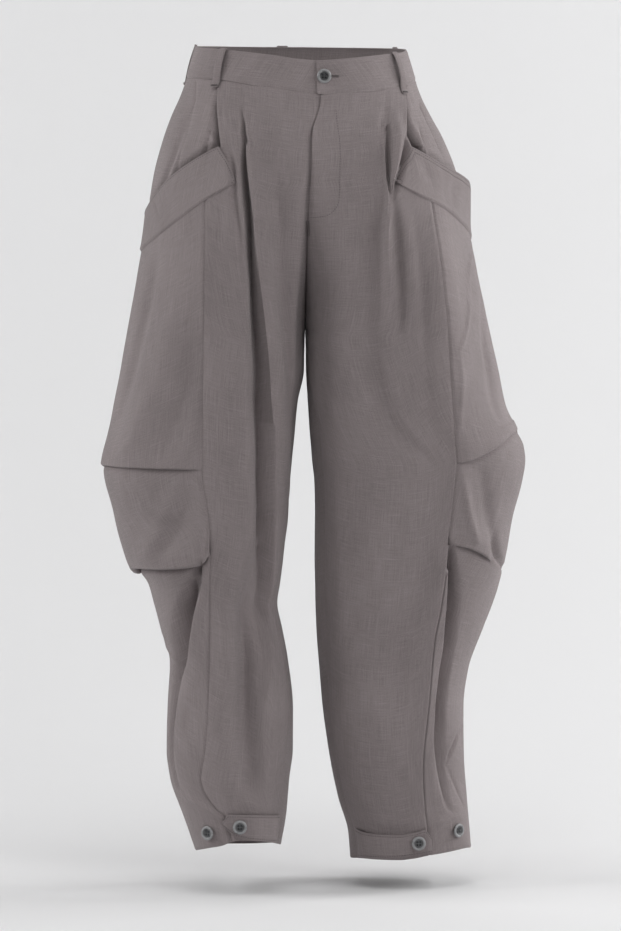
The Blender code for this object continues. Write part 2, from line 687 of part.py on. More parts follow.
def side_panel(leg):
    """From the panel seam round to the side seam, with two knee tucks whose lips face down."""
    shares = np.array(TUCK_SHARES)
    rows = []
    for level in (0,) + UPPER_LEVELS[5:8]:
        rows.append(("top", level, 0))
    for level in seam_levels(leg):
        if level > PANEL_TOP_LEVEL:
            continue
        rows.append(("level", level, 0))
        for tuck in leg.tucks:
            if level == tuck["level"] + TUCK_HALF_ROW:
                # the lip hangs lower than the fold behind it
                rows.append(("lip", tuck["level"] + 1, -3))
                rows.append(("under", tuck["level"] - 1, 2))
    points = []
    common = []
    inside = ease(shares, 0, TUCK_SHARES[1]) * ease(1 - shares, 0, TUCK_SHARES[1])
    for kind, value, drop in rows:
        levels = np.full(shares.shape, PANEL_TOP_LEVEL if kind == "top" else value, float)
        for _ in range(3):
            start = leg.seam_angle("panel", levels[0])
            angles = start + (leg.seam_angle("side", levels[-1]) - start) * shares
            if kind == "top":
                edge = band_edge(leg, "bottom", angles) + BAND_LAP
                part = max(0, (edge[0] - value) / (edge[0] - PANEL_TOP_LEVEL))
                levels = edge + (PANEL_TOP_LEVEL - edge) * part
        height = leg.height_of(levels, angles) + drop * inside
        out = 0.0
        for tuck in leg.tucks:
            above = levels - tuck["level"]
            near_tuck = np.exp(-((above / TUCK_DRAW) ** 2))
            height = height + np.array(tuck["rise"]) * near_tuck
            raised = ease(above, TUCK_REACH, TUCK_HALF_ROW) if kind != "under" else 0.0
            out = out + tuck["lip"] * inside * np.where(above > 0, raised, 0)
        row_points, row_common = leg.cloth_at(angles, levels, height, out)
        points.append(row_points)
        common.append(row_common)
    return add_panel("side_" + leg.name, np.array(points), leg.side, np.array(common))


def pocket_band(leg):
    """A slanted double strip over the hip, sewn along its lower edge and open along its top."""
    angles = np.tile(leg.band["angle"], (3, 1))
    share = np.array((0, 0.5, 1))[:, None]
    heights = leg.band["top"] + (leg.band["bottom"] - leg.band["top"]) * share
    seated = DOUBLE_CLOTH + BAND_LAY_GAP
    lift = seated + (leg.band["stand"] - BAND_SEWN_STAND) * (1 - share) ** 1.2
    points, _ = leg.cloth_at(angles, heights, heights, lift)
    return add_panel("pocket_band_" + leg.name, points, leg.side, thick=DOUBLE_CLOTH)


# ---- waistband, loops, tabs and buttons ----
def ring(turn, height, lift):
    """Points on the waist's oval, by turn round it from the front towards +X."""
    points, normal = LEGS[1].skin(turn, height)
    return points + normal * np.expand_dims(lift, -1)


def waist_height(name, turn):
    """Height of the waistband's seam or top edge at a turn."""
    return smooth(WAIST["turn"], WAIST[name], (turn + 180) % 360 - 180)


def waistband():
    """One double strip: its left end lies over its right end at the front."""
    turns = np.linspace(BAND_END_TURN, BAND_END_TURN + 360 + BAND_LAP_TURN, 46)
    lap = ease(turns, BAND_END_TURN + 335, BAND_END_TURN + 358)
    near_end = 1 - ease(turns, BAND_END_TURN, BAND_END_TURN + 40)
    lift = BAND_LIFT + 1.4 * near_end - 1.9 * lap
    rows = []
    for share in (1, 0.5, 0):
        bottom = waist_height("seam", turns) + 2 * SEAM_GAP
        height = bottom + (waist_height("top", turns) - bottom) * share
        rows.append(ring(turns, height, lift))
    return add_panel("waistband", np.array(rows), 1, thick=DOUBLE_CLOTH)


def belt_loop(number, turn, bow):
    """A narrow strip that bows out from the waistband between its sewn ends."""
    top = waist_height("top", turn)
    seam = waist_height("seam", turn)
    seated = BAND_LIFT + LOOP_THICK + 0.5
    rows = (
        (top + 1, seated),
        (top - 3, seated + 3.5 * bow),
        (top - 9, seated + 6 * bow),
        ((top + seam) / 2, seated + 6.5 * bow),
        (seam + 6, seated + 5.5 * bow),
        (seam - 1, seated + 2.5 * bow),
        (seam - 6, seated + 0.4),
        (seam - 11, seated + 0.2),
    )
    half_turn = np.degrees(LOOP_WIDTH / 2 / WAIST_RADIUS)
    turns = np.array((turn - half_turn, turn, turn + half_turn))
    points = np.array([ring(turns, height + 0 * turns, lift + 0 * turns) for height, lift in rows])
    return add_panel(f"belt_loop_{number}", points, 1, thick=LOOP_THICK)


def hem_tab(leg, rows):
    """A double strip from the inseam across the front of the hem, with a pointed end."""
    rows = table(TAB_NAMES, rows)
    ends = leg.angle_at(rows["across"], (rows["top"] + rows["bottom"]) / 2)
    angles = np.tile(np.linspace(ends[0], ends[-1], TAB_COLUMNS), (3, 1))
    share = np.array((0, 0.5, 1))[:, None]
    top = np.interp(angles, ends, rows["top"])
    heights = top + (np.interp(angles, ends, rows["bottom"]) - top) * share
    lift = DOUBLE_CLOTH + TAB_LAY_GAP + 0 * heights
    points, _ = leg.cloth_at(angles, heights, heights, lift)
    return add_panel("tab_" + leg.name, points, leg.side, thick=DOUBLE_CLOTH)


def button(name, centre, outward, width):
    """A turned button with a raised rim and a sunk middle."""
    outward = unit(np.asarray(outward, float))
    across = unit(np.cross(outward, (0, 0, 1)))
    up = np.cross(across, outward)
    vertices = [centre + outward * BUTTON_RINGS[0][1]]
    for share, rise in BUTTON_RINGS[1:-1]:
        for k in range(BUTTON_SIDES):
            turn = 2 * math.pi * k / BUTTON_SIDES
            round_ = across * math.cos(turn) + up * math.sin(turn)
            vertices.append(centre + round_ * share * width / 2 + outward * rise)
    vertices.append(centre + outward * BUTTON_RINGS[-1][1])
    rings = len(BUTTON_RINGS) - 2
    faces = []
    for k in range(BUTTON_SIDES):
        after = (k + 1) % BUTTON_SIDES
        faces.append((0, 1 + k, 1 + after))
        for r in range(rings - 1):
            upper = 1 + r * BUTTON_SIDES
            lower = upper + BUTTON_SIDES
            faces.append((upper + k, lower + k, lower + after, upper + after))
        last = 1 + (rings - 1) * BUTTON_SIDES
        faces.append((last + k, len(vertices) - 1, last + after))
    return add_object(name, vertices, faces, BUTTON_COLOUR, 0.35)


def hem_button(leg, number, across, height, lift):
    """A button on the cloth or the tab at a hem."""
    angle = leg.angle_at(across, height)
    points, normal = leg.cloth_at(angle, np.float64(height), np.float64(height), lift)
    name = f"button_hem_{leg.name}_{number}"
    return button(name, points, normal, HEM_BUTTON_WIDTH)


def build():
    """All sub-parts of the trousers."""
    for leg in LEGS:
        front_panel(leg)
        back_panel(leg)
        hip_piece(leg)
        side_panel(leg)
        pocket_band(leg)
    waistband()
    for number, (turn, bow) in enumerate(zip(LOOP_TURNS, LOOP_BOWS), start=1):
        belt_loop(number, turn, bow)
    for leg, rows, buttons in zip(LEGS, (RIGHT_TAB, LEFT_TAB), (RIGHT_BUTTONS, LEFT_BUTTONS)):
        hem_tab(leg, rows)
        for number, (across, height, lift) in enumerate(buttons, start=1):
            hem_button(leg, number, across, height, lift)
    centre = ring(np.float64(WAIST_BUTTON_TURN), np.float64(WAIST_BUTTON_HEIGHT), BAND_LIFT + 2.8)
    _, outward = LEGS[1].skin(np.float64(WAIST_BUTTON_TURN), np.float64(WAIST_BUTTON_HEIGHT))
    button("button_waist", centre, outward, BUTTON_WIDTH)


for old in list(bpy.data.objects):
    bpy.data.objects.remove(old, do_unlink=True)
build()
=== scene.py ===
"""Looks of the balloon trousers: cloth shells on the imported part's forms, with their folds, pleats,
stitches and buttons, a plain stage and a camera at the photograph's angle.

Sizes are millimetres until a mesh is made. Right and left are the wearer's, so the right leg is
at -X and shows at the viewer's left. Each leg is a tube of ovals; an angle on it is 0 at the front,
90 at the outer side, 180 at the back and -90 at the inner side.
"""

import math

import bpy
import numpy as np
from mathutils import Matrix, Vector, noise


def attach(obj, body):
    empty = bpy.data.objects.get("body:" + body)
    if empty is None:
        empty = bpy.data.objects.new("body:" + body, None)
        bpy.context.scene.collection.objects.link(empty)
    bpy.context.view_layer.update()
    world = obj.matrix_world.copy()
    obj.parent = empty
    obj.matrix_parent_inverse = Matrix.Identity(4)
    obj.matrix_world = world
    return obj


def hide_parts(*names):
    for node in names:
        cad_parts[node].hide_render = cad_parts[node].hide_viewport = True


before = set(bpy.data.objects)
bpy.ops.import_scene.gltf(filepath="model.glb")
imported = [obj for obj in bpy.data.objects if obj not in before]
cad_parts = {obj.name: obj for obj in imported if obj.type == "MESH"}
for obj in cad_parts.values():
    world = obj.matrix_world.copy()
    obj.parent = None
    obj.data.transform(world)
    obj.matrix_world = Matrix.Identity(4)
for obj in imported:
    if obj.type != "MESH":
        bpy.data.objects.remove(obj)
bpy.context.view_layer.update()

MM = 0.001
CLOTH = 0.9
DOUBLE_CLOTH = 1.5
ROUNDNESS = 2.3
WAIST_LEVEL = -15.0
CROTCH_LEVEL = -336.0
HEM_LEVEL = -970.0
POCKET_TIP_LEVEL = -97.0
PANEL_TOP_LEVEL = -230.0
WAIST_FADE = 95.0
HEM_FADE = 90.0
FLY_LAP = 9.0
FLY_RISE = 1.9
LOOP_WIDTH = 12.0
ROW = 3.2
CAMERA = (12.4, -5000.0, -150.0)
AIM = (12.4, 0.0, -494.0)
LENS = 155.0

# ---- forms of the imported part, repeated here at a finer step ----
# ---- leg ovals: outer and inner are distances from the waist's middle towards that leg's side,
# ---- front and back are depths ----
SECTION_NAMES = ("height", "outer", "inner", "front", "back")
RIGHT_SECTIONS = (
    (28, 129, -129, -93, 92),
    (-12, 141, -141, -98, 97),
    (-36, 150, -150, -104, 103),
    (-60, 161, -136, -109, 108),
    (-85, 170, -112, -114, 114),
    (-130, 182, -77, -119, 124),
    (-200, 193.5, -40, -122, 131),
    (-250, 202.5, -19, -122, 128),
    (-300, 211.5, -8, -119, 120),
    (-336, 218, -5, -117, 115),
    (-375, 225, -4, -116, 111),
    (-415, 233, 4, -115, 108),
    (-455, 239.5, 8, -115, 106),
    (-497, 246, 12, -115, 104),
    (-555, 231, 17, -112, 100),
    (-600, 213, 22, -109, 98),
    (-620, 204, 24, -107, 97),
    (-640, 190.5, 27, -103, 96),
    (-663, 184, 30, -100, 95),
    (-700, 174.5, 23, -98, 92),
    (-737, 164, 16, -97, 88),
    (-800, 167, 9, -98, 82),
    (-850, 168, 9.5, -99, 76),
    (-885, 163, 14, -99, 70),
    (-930, 147, 18, -98, 62),
    (-985, 128, 28, -96, 55),
)
LEFT_SECTIONS = (
    (28, 129, -129, -93, 92),
    (-12, 141, -141, -98, 97),
    (-36, 150, -150, -104, 103),
    (-60, 162, -137, -109, 108),
    (-85, 176, -114, -113, 114),
    (-130, 194, -78, -118, 124),
    (-200, 209, -34, -119, 131),
    (-250, 220, -10, -118, 128),
    (-300, 230.5, 3, -114, 121),
    (-336, 238.5, 6, -111, 117),
    (-375, 247, 7, -108, 114),
    (-415, 255, 9.5, -105, 111),
    (-450, 269.5, 11.5, -103, 110),
    (-470, 279, 13, -102, 109.5),
    (-487, 281, 14, -101, 109),
    (-512, 277.5, 16.5, -99, 108),
    (-560, 265, 18, -95, 106),
    (-605, 257, 18, -90, 104),
    (-650, 246.5, 18.5, -84, 102),
    (-700, 228.5, 20, -78, 99),
    (-750, 211, 23.5, -71, 96),
    (-800, 205, 27.5, -64, 92),
    (-862, 205.5, 36.5, -55, 87),
    (-912, 209, 47, -48, 82),
    (-957, 213, 60, -43, 77),
    (-990, 216, 63, -40, 75),
)

# ---- waist: turn round the ring from the front towards +X, height of seam and of top edge ----
WAIST_NAMES = ("turn", "seam", "top")
WAIST_LINE = (
    (-180, -6, 30),
    (-135, -6, 30),
    (-90, -9, 28),
    (-73, -10.5, 25.5),
    (-43, -13.5, 21.5),
    (-12, -24.5, 14),
    (7, -32, 7.5),
    (26, -30, 11),
    (52, -22.5, 16.5),
    (71, -17.5, 19.5),
    (90, -13, 24),
    (135, -8, 28),
    (180, -6, 30),
)

# ---- hems: angle on the leg and height ----
HEM_NAMES = ("angle", "height")
RIGHT_HEM = (
    (-90, -969), (-65, -962), (-31, -954), (-4, -951.5), (15, -958.5), (33, -962.5), (65, -970),
    (90, -975), (180, -980), (270, -969),
)
LEFT_HEM = (
    (-90, -991), (-46, -986), (-9, -985.5), (16, -979), (60, -974.5), (90, -978), (180, -990),
    (270, -991),
)

# ---- seams by height. The centre seams are given by x; across is measured towards the leg's side
# ---- from the waist's middle; an angle is one on the leg ----
CENTRE_NAMES = ("height", "front_x", "back_x")
CENTRE_SEAM = (
    (30, 26, -24),
    (-30, 24, -21),
    (-75, 15, -16),
    (-130, 13, -11),
    (-170, 10, -7),
    (-230, 8, -1),
    (-300, 6, 4),
    (-336, 5.5, 5.5),
)
INSEAM_NAMES = ("height", "angle")
RIGHT_INSEAM = ((-336, -90), (-400, -80), (-500, -76), (-790, -74), (-850, -62), (-911, -57), (-985, -62))
LEFT_INSEAM = ((-336, -90), (-400, -74), (-450, -64), (-985, -62))
SIDE_SEAM = ((30, 97), (-12, 97), (-200, 104), (-500, 108), (-700, 106), (-985, 100))
PANEL_SEAM_NAMES = ("height", "across")
RIGHT_PANEL_SEAM = (
    (-150, 115.5), (-250, 117), (-358, 118.5), (-492, 120), (-546, 113), (-598, 110.5), (-660, 111),
    (-741, 112), (-798, 114), (-842, 117.5), (-875, 122.5), (-886, 120), (-916, 103), (-926, 94.5),
    (-940, 87), (-972, 82.5),
)
LEFT_PANEL_SEAM = (
    (-150, 158.5), (-169, 160), (-244, 168), (-314, 174.5), (-396, 181), (-455, 187), (-483, 190),
    (-518, 187.5), (-595, 180.5), (-671, 171), (-706, 165), (-789, 158), (-866, 152.5), (-908, 154),
    (-938, 156.5), (-979, 161),
)

# ---- pleats: the fold lines that start at the waistband ----
RIGHT_HIP_PLEAT = ((30, 126), (-32, 129), (-126, 153), (-310, 160))
LEFT_HIP_PLEAT = ((30, 134), (-44, 147), (-122, 181), (-310, 190))
RIGHT_HIP_EDGE = ((30, 102.5), (-46, 102.5), (-71, 100), (-97, 97))
LEFT_HIP_EDGE = ((30, 127.5), (-49, 127.5), (-79, 128.5), (-97, 136))

# ---- pocket bands: angle on the leg, height of the opening's edge and of the lower seam, and how
# ---- far the opening's edge stands out ----
BAND_NAMES = ("angle", "top", "bottom", "stand")
RIGHT_BAND = (
    (8, -141, -146, 3),
    (11, -128, -148, 3),
    (16, -114, -155, 3),
    (24, -97, -167, 3),
    (32, -108, -180, 4),
    (40, -120, -191, 4.5),
    (50, -134, -203, 4),
    (62, -151, -214, 3),
    (76, -167, -223, 3),
    (90, -178, -227, 3),
    (103, -185, -226, 3),
)
LEFT_BAND = (
    (20, -137, -143, 3),
    (23.5, -129, -147.5, 3),
    (27, -121, -152, 3),
    (33, -109, -159, 3),
    (39, -97, -165, 3),
    (46, -106, -171, 4),
    (54, -116, -179, 5),
    (62, -124, -187, 8),
    (71, -131, -195, 11),
    (83, -140, -204, 14),
    (93, -149, -212, 12),
    (103, -158, -220, 6),
)
BAND_LAP = 6.0
# the front's edge goes this many degrees under the band, the hip piece this many behind the tip
UNDER_BAND_TURN = 3.0
# how deep the pocket is behind its band, and at its closed ends
POCKET_DIVE = 12.0
POCKET_EDGE_DIVE = 3.4

BAND_END_TURN = 6.1
BAND_LAP_TURN = 20.0
WAIST_RADIUS = 125.0
LOOP_HALF_TURN = np.degrees(LOOP_WIDTH / 2 / WAIST_RADIUS)
LOOP_TURNS = (-42.5, 57, 118, 188, -98)
# how far each loop bows out, as a share of the most
LOOP_BOWS = (0.8, 1.0, 0.7, 0.8, 0.3)
WAIST_BUTTON_TURN = 9.2
WAIST_BUTTON_HEIGHT = -12.0
BUTTON_WIDTH = 17.5
BUTTONHOLE_TURNS = (8.0, 16.2)

# ---- hem tabs: from the inseam end to the pointed end ----
TAB_NAMES = ("across", "top", "bottom")
RIGHT_TAB = (
    (29, -924.5, -959),
    (49.5, -920.5, -953),
    (65.5, -919, -950),
    (79.5, -918.5, -947),
    (88, -918.5, -941),
    (94.5, -928, -934),
)
LEFT_TAB = (
    (72.5, -949, -984.5),
    (84, -952, -984),
    (106.5, -953, -983.5),
    (128, -953, -981),
    (148.5, -948.5, -978),
    (157, -946, -976.5),
    (163.5, -956, -975.5),
)
# ---- hem buttons: across, height and how far out they sit ----
RIGHT_BUTTONS = ((75, -934, 4.2), (113.5, -943, 0.8))
LEFT_BUTTONS = ((147, -963, 4.2), (196, -950, 0.8))

# ---- folds. A path's points are across and height as seen on the plane through the waist's middle
# ---- (+X to the viewer's right), then depth and width. Kinds: "valley" and "ridge" are soft,
# ---- "crease" is sharp, "over_right" and "over_left" are folds whose right or left side laps over a
# ---- hollow of that depth and width ----
RIGHT_DEEP_FOLD = (
    (-122.2, -610.1, 0, 6), (-121.6, -627.7, 13, 10), (-126, -662.9, 20, 17), (-136.2, -717, 22, 21),
    (-148.3, -771.3, 18, 18), (-155.9, -815.5, 12, 13), (-158.3, -847.1, 7, 12), (-155.3, -880, 4.5, 10),
    (-148.6, -904.1, 2.5, 8), (-139.1, -919.3, 0, 8),
)
RIGHT_PLEAT = (
    (-73.9, -34, 0, 1.6), (-72.9, -48.9, 3, 1.8), (-70.6, -69.9, 7, 2.6), (-66.8, -100.9, 12, 4.2),
    (-59.9, -162.9, 20, 8), (-54.7, -215.1, 24, 9.5), (-50, -258.6, 25, 11), (-45.1, -302.2, 25, 14),
    (-40, -345.8, 25, 18), (-36.3, -389.5, 26, 21), (-33.2, -437, 27, 24), (-32, -512.2, 26, 25),
    (-33.3, -612.6, 23, 27), (-37.1, -700.7, 15, 28), (-46, -801.6, 0, 26),
)
RIGHT_SEEN = (
    ("crease", (
        (-73.9, -19.2, 1.6, 1.2), (-73.9, -29.1, 1.8, 1.2), (-73.7, -46.4, 1.8, 1.3),
        (-72.7, -56.3, 0, 1.4),
    )),
    ("over_right", RIGHT_PLEAT),
    ("ridge", (
        (-83.9, -94.7, 0, 3), (-77.8, -131.9, 1.8, 3.5), (-71.6, -181.5, 2.4, 3.8),
        (-66.3, -225, 2.2, 3.8), (-62.4, -268.6, 1.5, 4), (-61.8, -305.9, 0, 4),
    )),
    ("valley", (
        (-88.9, -86, 0, 3), (-84, -119.5, 3, 3.5), (-79.6, -169.1, 4.4, 4.6), (-74.1, -225, 3, 5.5),
        (-71.7, -274.8, 0, 6),
    )),
    ("valley", ((-97.7, -156.7, 0, 5), (-99, -193.9, 1.6, 5), (-104.1, -239.9, 1, 6), (-107.9,
        -287.3, 0, 6))),
    ("valley", ((-82.6, -51.3, 0, 4), (-78.9, -76.1, 2.2, 4), (-75.2, -100.9, 1.5, 3), (-71.5,
        -119.5, 0, 3))),
    ("valley", (
        (-35.4, -53.8, 0, 12), (-31.7, -113.3, 3, 12), (-25.6, -187.7, 6.5, 10), (-20.6, -262.3, 7, 10),
        (-15.7, -337.1, 5, 10), (-14.5, -437, 3, 10), (-15.7, -537.2, 0, 10),
    )),
    ("ridge", (
        (-9.3, -76.1, 0, 8), (-4.4, -162.9, 2.5, 7), (-5.7, -262.3, 3.4, 7), (-9.4, -387, 3.4, 8),
        (-17, -512.2, 2.6, 9), (-24.5, -637.7, 0, 9),
    )),
    ("ridge", (
        (-92, -512.2, 0, 14), (-94.7, -662.9, 4, 14), (-98.7, -789, 4.4, 13), (-106.3, -864.8, 2.4, 12),
        (-111.4, -915.5, 0, 10),
    )),
    ("valley", (
        (-58.3, -587.5, 0, 14), (-63.4, -675.5, 17, 17), (-64.7, -763.7, 24, 18),
        (-66.1, -833.2, 20, 18), (-64.9, -890.1, 10, 15), (-63.7, -923.1, 0, 12),
    )),
    ("valley", ((-98.7, -792.8, 0, 6), (-87.4, -809.2, 1.6, 6), (-74.9, -829.4, 0, 7))),
    ("ridge", (
        (-81.1, -833.2, 0, 9), (-87.5, -864.8, 1.8, 9), (-96.3, -896.5, 1.4, 8), (-103.9, -919.3, 0, 7),
    )),
    ("over_left", (
        (-40.8, -657.9, 0, 6), (-34.6, -688.1, 3, 7), (-25.8, -728.4, 4.5, 8), (-18.3, -773.8, 4.5, 8),
        (-15.8, -804.1, 3, 7), (-19.6, -839.5, 0, 6),
    )),
    ("over_right", RIGHT_DEEP_FOLD),
    ("ridge", (
        (-159.1, -892.7, 0, 4), (-146.6, -909.1, 2.2, 4), (-122.7, -923.1, 2.6, 4.5),
        (-98.9, -939.6, 1.6, 4), (-90.1, -947.2, 0, 4),
    )),
    ("ridge", (
        (-175, -710.7, 0, 3), (-163.8, -728.4, 2, 3.2), (-153.8, -747.3, 2, 3.2), (-143.8, -766.2, 0, 3),
    )),
    ("valley", ((-170.1, -748.6, 0, 3.5), (-161.3, -763.7, 2, 3.5), (-151.3, -781.4, 0, 3.5))),
    ("valley", (
        (-118.9, -541, 0, 2.5), (-117.7, -568.6, 2.4, 3), (-118.4, -591.2, 4, 4), (-120.9, -603.8, 3, 4),
    )),
    ("valley", (
        (-135.7, -509.7, 0, 8), (-145.8, -547.3, 3.4, 9), (-162.2, -591.2, 4.6, 11),
        (-179.8, -615.1, 0, 10),
    )),
    ("ridge", (
        (-155.7, -514.7, 0, 9), (-168.4, -556.1, 3, 10), (-186, -597.5, 2.6, 10), (-198.5, -615.1, 0, 9),
    )),
    ("ridge", (
        (-133.9, -239.9, 0, 16), (-165.3, -337.1, 6, 20), (-203.1, -447.1, 5, 18),
        (-230.7, -494.6, 0, 14),
    )),
    ("valley", (
        (-126.6, -287.3, 0, 9), (-140.5, -387, 5, 13), (-163.1, -462.1, 4, 15), (-188.2, -492.1, 0, 13),
    )),
    ("valley", (
        (-175, -212.6, 0, 8), (-190.1, -287.3, 4.4, 11), (-210.3, -374.6, 5.5, 12),
        (-228, -449.6, 0, 12),
    )),
    ("crease", ((-234.4, -489.6, 0, 2), (-223.1, -472.1, 1.2, 3), (-205.6, -447.1, 0, 3))),
    ("crease", ((-228.2, -502.1, 0, 2), (-218.3, -522.2, 1.3, 3), (-212.1, -547.3, 0, 3))),
    ("valley", ((-48.5, -845.8, 0, 10), (-53.6, -883.8, 2, 11), (-48.6, -925.6, 0, 9))),
    ("crease", ((-29.7, -905.3, 0, 2), (-24.7, -911.7, 1.8, 2.4), (-19.7, -919.3, 0, 2))),
)
LEFT_DEEP_FOLD = (
    (184.2, -595, 4, 6), (183.5, -612.6, 13, 8), (180.9, -661.6, 20, 12), (177.8, -700.7, 18, 13),
    (173.9, -737.2, 17, 13), (166.2, -809.2, 14, 12), (165.4, -840.8, 9, 12), (171.1, -887.6, 6, 9),
    (182.1, -925.6, 3, 8), (199.1, -937, 0, 7),
)
LEFT_PLEAT = (
    (107.6, -27.8, 0, 2), (107.7, -46.4, 1, 2.5), (106.7, -76.1, 2.5, 6), (106.5, -113.3, 4, 11),
    (109, -145.5, 5, 13), (110.1, -162.9, 6, 14), (105.9, -210.1, 7, 15), (106.2, -257.4, 7.5, 17),
    (105.8, -305.9, 7.5, 18), (106.1, -353.3, 7, 20), (112.9, -392, 6, 22), (129.2, -438.3, 4.6, 24),
    (161.7, -475.8, 2.6, 22), (176.8, -493.4, 0, 18),
)
LEFT_SEEN = (
    ("crease", (
        (107.9, -26.6, 1.6, 1.2), (107.9, -36.5, 1.8, 1.2), (107.9, -48.9, 1.6, 1.3),
        (108.2, -56.3, 0, 1.4),
    )),
    ("over_right", LEFT_PLEAT),
    ("valley", (
        (92.5, -61.2, 0, 10), (88.9, -119.5, 5, 12), (84, -200.2, 7, 16), (76.6, -287.3, 7, 20),
        (79.1, -362.1, 6, 23), (99.2, -437, 3, 24), (124.3, -499.6, 0, 20),
    )),
    ("valley", (
        (108.7, -46.4, 0, 1.2), (109.4, -69.9, 6, 1.6), (110, -100.9, 11, 2.3), (110.8, -128.1, 12, 2.4),
        (112, -150.5, 7, 2), (112.6, -165.4, 0, 1.6),
    )),
    ("ridge", (
        (119.8, -43.9, 0, 5), (122.4, -76.1, 3.5, 5.5), (120.6, -107.1, 5, 5), (116.2, -135.6, 5, 3.6),
        (113.2, -157.9, 2, 3), (112.6, -170.3, 0, 3),
    )),
    ("valley", (
        (130.8, -73.6, 0, 1.6), (130.2, -97.2, 6, 2.2), (126.2, -118.2, 9, 2.6), (120, -138.1, 8, 2.6),
        (116, -157.9, 4, 2.2), (114.6, -170.3, 0, 1.6),
    )),
    ("valley", (
        (116.9, -155.4, 0, 4), (119.4, -197.7, 6.5, 5.4), (122.6, -249.9, 6.5, 6.5),
        (126.5, -312.2, 4.4, 8), (131.6, -377.1, 0, 9),
    )),
    ("ridge", (
        (133.7, -179, 0, 6), (136.3, -225, 2.8, 7), (138.9, -287.3, 3, 8), (129, -349.6, 4, 9),
        (126.6, -412, 4, 10), (136.7, -474.6, 0, 10),
    )),
    ("valley", (
        (148.8, -239.9, 0, 7), (155.1, -309.7, 4.6, 8), (159, -374.6, 5, 9), (165.4, -442, 3, 9),
        (169.2, -489.6, 0, 9),
    )),
    ("ridge", ((133, -489.6, 0, 16), (135.7, -581.2, 3, 17), (129.6, -694.4, 0, 20))),
    ("ridge", (
        (166, -150.5, 0, 20), (173.7, -225, 7, 25), (181.3, -312.2, 12, 29), (186.6, -412, 12, 31),
        (189.2, -480.8, 8, 30), (193.1, -537.2, 5, 26), (199.5, -593.7, 0, 24),
    )),
    ("valley", (
        (166.9, -574.9, 0, 14), (149.5, -647.8, 6, 17), (127.1, -713.3, 7, 19), (115.9, -776.3, 6, 20),
        (111, -845.8, 0, 20),
    )),
    ("valley", ((64.2, -437, 0, 16), (64.3, -537.2, 2.4, 18), (69.4, -662.9, 2, 18), (74.5, -776.3, 0, 18))),
    ("ridge", ((97, -713.3, 0, 16), (102.2, -814.2, 2, 18), (109.8, -902.8, 0, 16))),
    ("ridge", (
        (111.9, -160.4, 0, 3), (111.1, -193.9, 3.6, 4), (110.7, -249.9, 4.4, 5), (110.3, -324.6, 3.6, 6),
        (112.9, -393.3, 0, 7),
    )),
    ("crease", ((10.5, -216.3, 0, 1.6), (16.8, -210.1, 1.5, 1.8), (26.7, -201.4, 0, 1.6))),
    ("ridge", (
        (212.2, -207.6, 0, 3), (210.6, -246.2, 2, 3), (207, -305.9, 2.6, 3.6), (197.6, -340.9, 2, 3.6),
        (191.4, -352.1, 0, 3),
    )),
    ("ridge", ((192.6, -344.6, 0, 3), (197.7, -389.5, 1.6, 4), (196.6, -437, 1.2, 4), (195.4, -467.1, 0, 4))),
    ("valley", ((223.5, -239.9, 0, 7), (228.7, -324.6, 4, 9), (239, -399.5, 3.4, 10), (249.1, -443.3, 0, 8))),
    ("ridge", (
        (200.5, -497.1, 0, 6), (206.9, -537.2, 4, 6.5), (215.7, -579.9, 4.5, 6.5), (222, -596.2, 0, 6),
    )),
    ("valley", (
        (221.7, -490.9, 0, 8), (230.6, -537.2, 3.6, 9), (239.5, -582.4, 5, 8), (248.4, -610.1, 8, 5),
        (253.4, -625.2, 2, 4), (256, -632.7, 0, 4),
    )),
    ("over_left", LEFT_DEEP_FOLD),
    ("over_left", (
        (205.1, -807.9, 0, 4), (198.8, -825.6, 3, 5), (188.9, -848.4, 4, 5), (181.9, -867.3, 2, 3),
        (180.1, -874.9, 0, 2),
    )),
    ("crease", (
        (182.6, -869.9, 0, 2), (190.2, -887.6, 2.4, 3), (199.1, -909.1, 2.4, 3), (207.9, -930.7, 0, 2),
    )),
    ("ridge", ((158.9, -952.2, 0, 4), (180.3, -942.1, 1.8, 4), (202.9, -930.7, 0, 4))),
    ("valley", ((77.2, -948.4, 0, 6), (106.1, -954.8, 3, 6), (137.5, -953.5, 2, 6), (152.6, -945.9, 0, 5))),
)
# ---- the same for what the camera doesn't see, with angle and height ----
RIGHT_HIDDEN = (
    ("valley", (
        (150, -60, 0, 12), (152, -150, 3.5, 14), (153, -260, 5.5, 15), (151, -420, 5, 18),
        (147, -600, 0, 20),
    )),
    ("ridge", ((168, -70, 0, 12), (168, -190, 3, 16), (166, -330, 3, 18), (165, -460, 0, 18))),
    ("over_right", (
        (215, -352, 0, 8), (206, -380, 4, 12), (194, -430, 5, 15), (184, -500, 3, 16),
        (178, -570, 0, 16),
    )),
    ("valley", (
        (232, -350, 0, 8), (224, -400, 5, 10), (214, -470, 6, 13), (206, -560, 4, 15),
        (200, -660, 0, 16),
    )),
    ("valley", ((240, -420, 0, 8), (232, -520, 4, 11), (224, -620, 5, 13), (218, -740, 0, 14))),
    ("valley", ((120, -250, 0, 12), (122, -340, 4, 15), (124, -450, 3, 16), (122, -540, 0, 16))),
    ("over_left", (
        (128, -598, 0, 9), (131, -640, 6, 12), (136, -700, 7, 14), (140, -770, 4, 12),
        (142, -850, 0, 12),
    )),
    (
        "valley", ((170, -580, 0, 14), (176, -660, 4.5, 15), (180, -760, 4.5, 14), (184, -860, 0, 12)),
    ),
    ("crease", ((160, -612, 0, 3), (176, -622, 2, 4), (196, -618, 0, 4))),
    ("crease", ((150, -650, 0, 3), (168, -664, 2.2, 4), (190, -662, 0, 4))),
    ("valley", ((212, -760, 0, 10), (206, -830, 3.4, 10), (200, -900, 0, 9))),
    ("ridge", ((196, -640, 0, 12), (204, -740, 3, 13), (210, -850, 0, 12))),
)
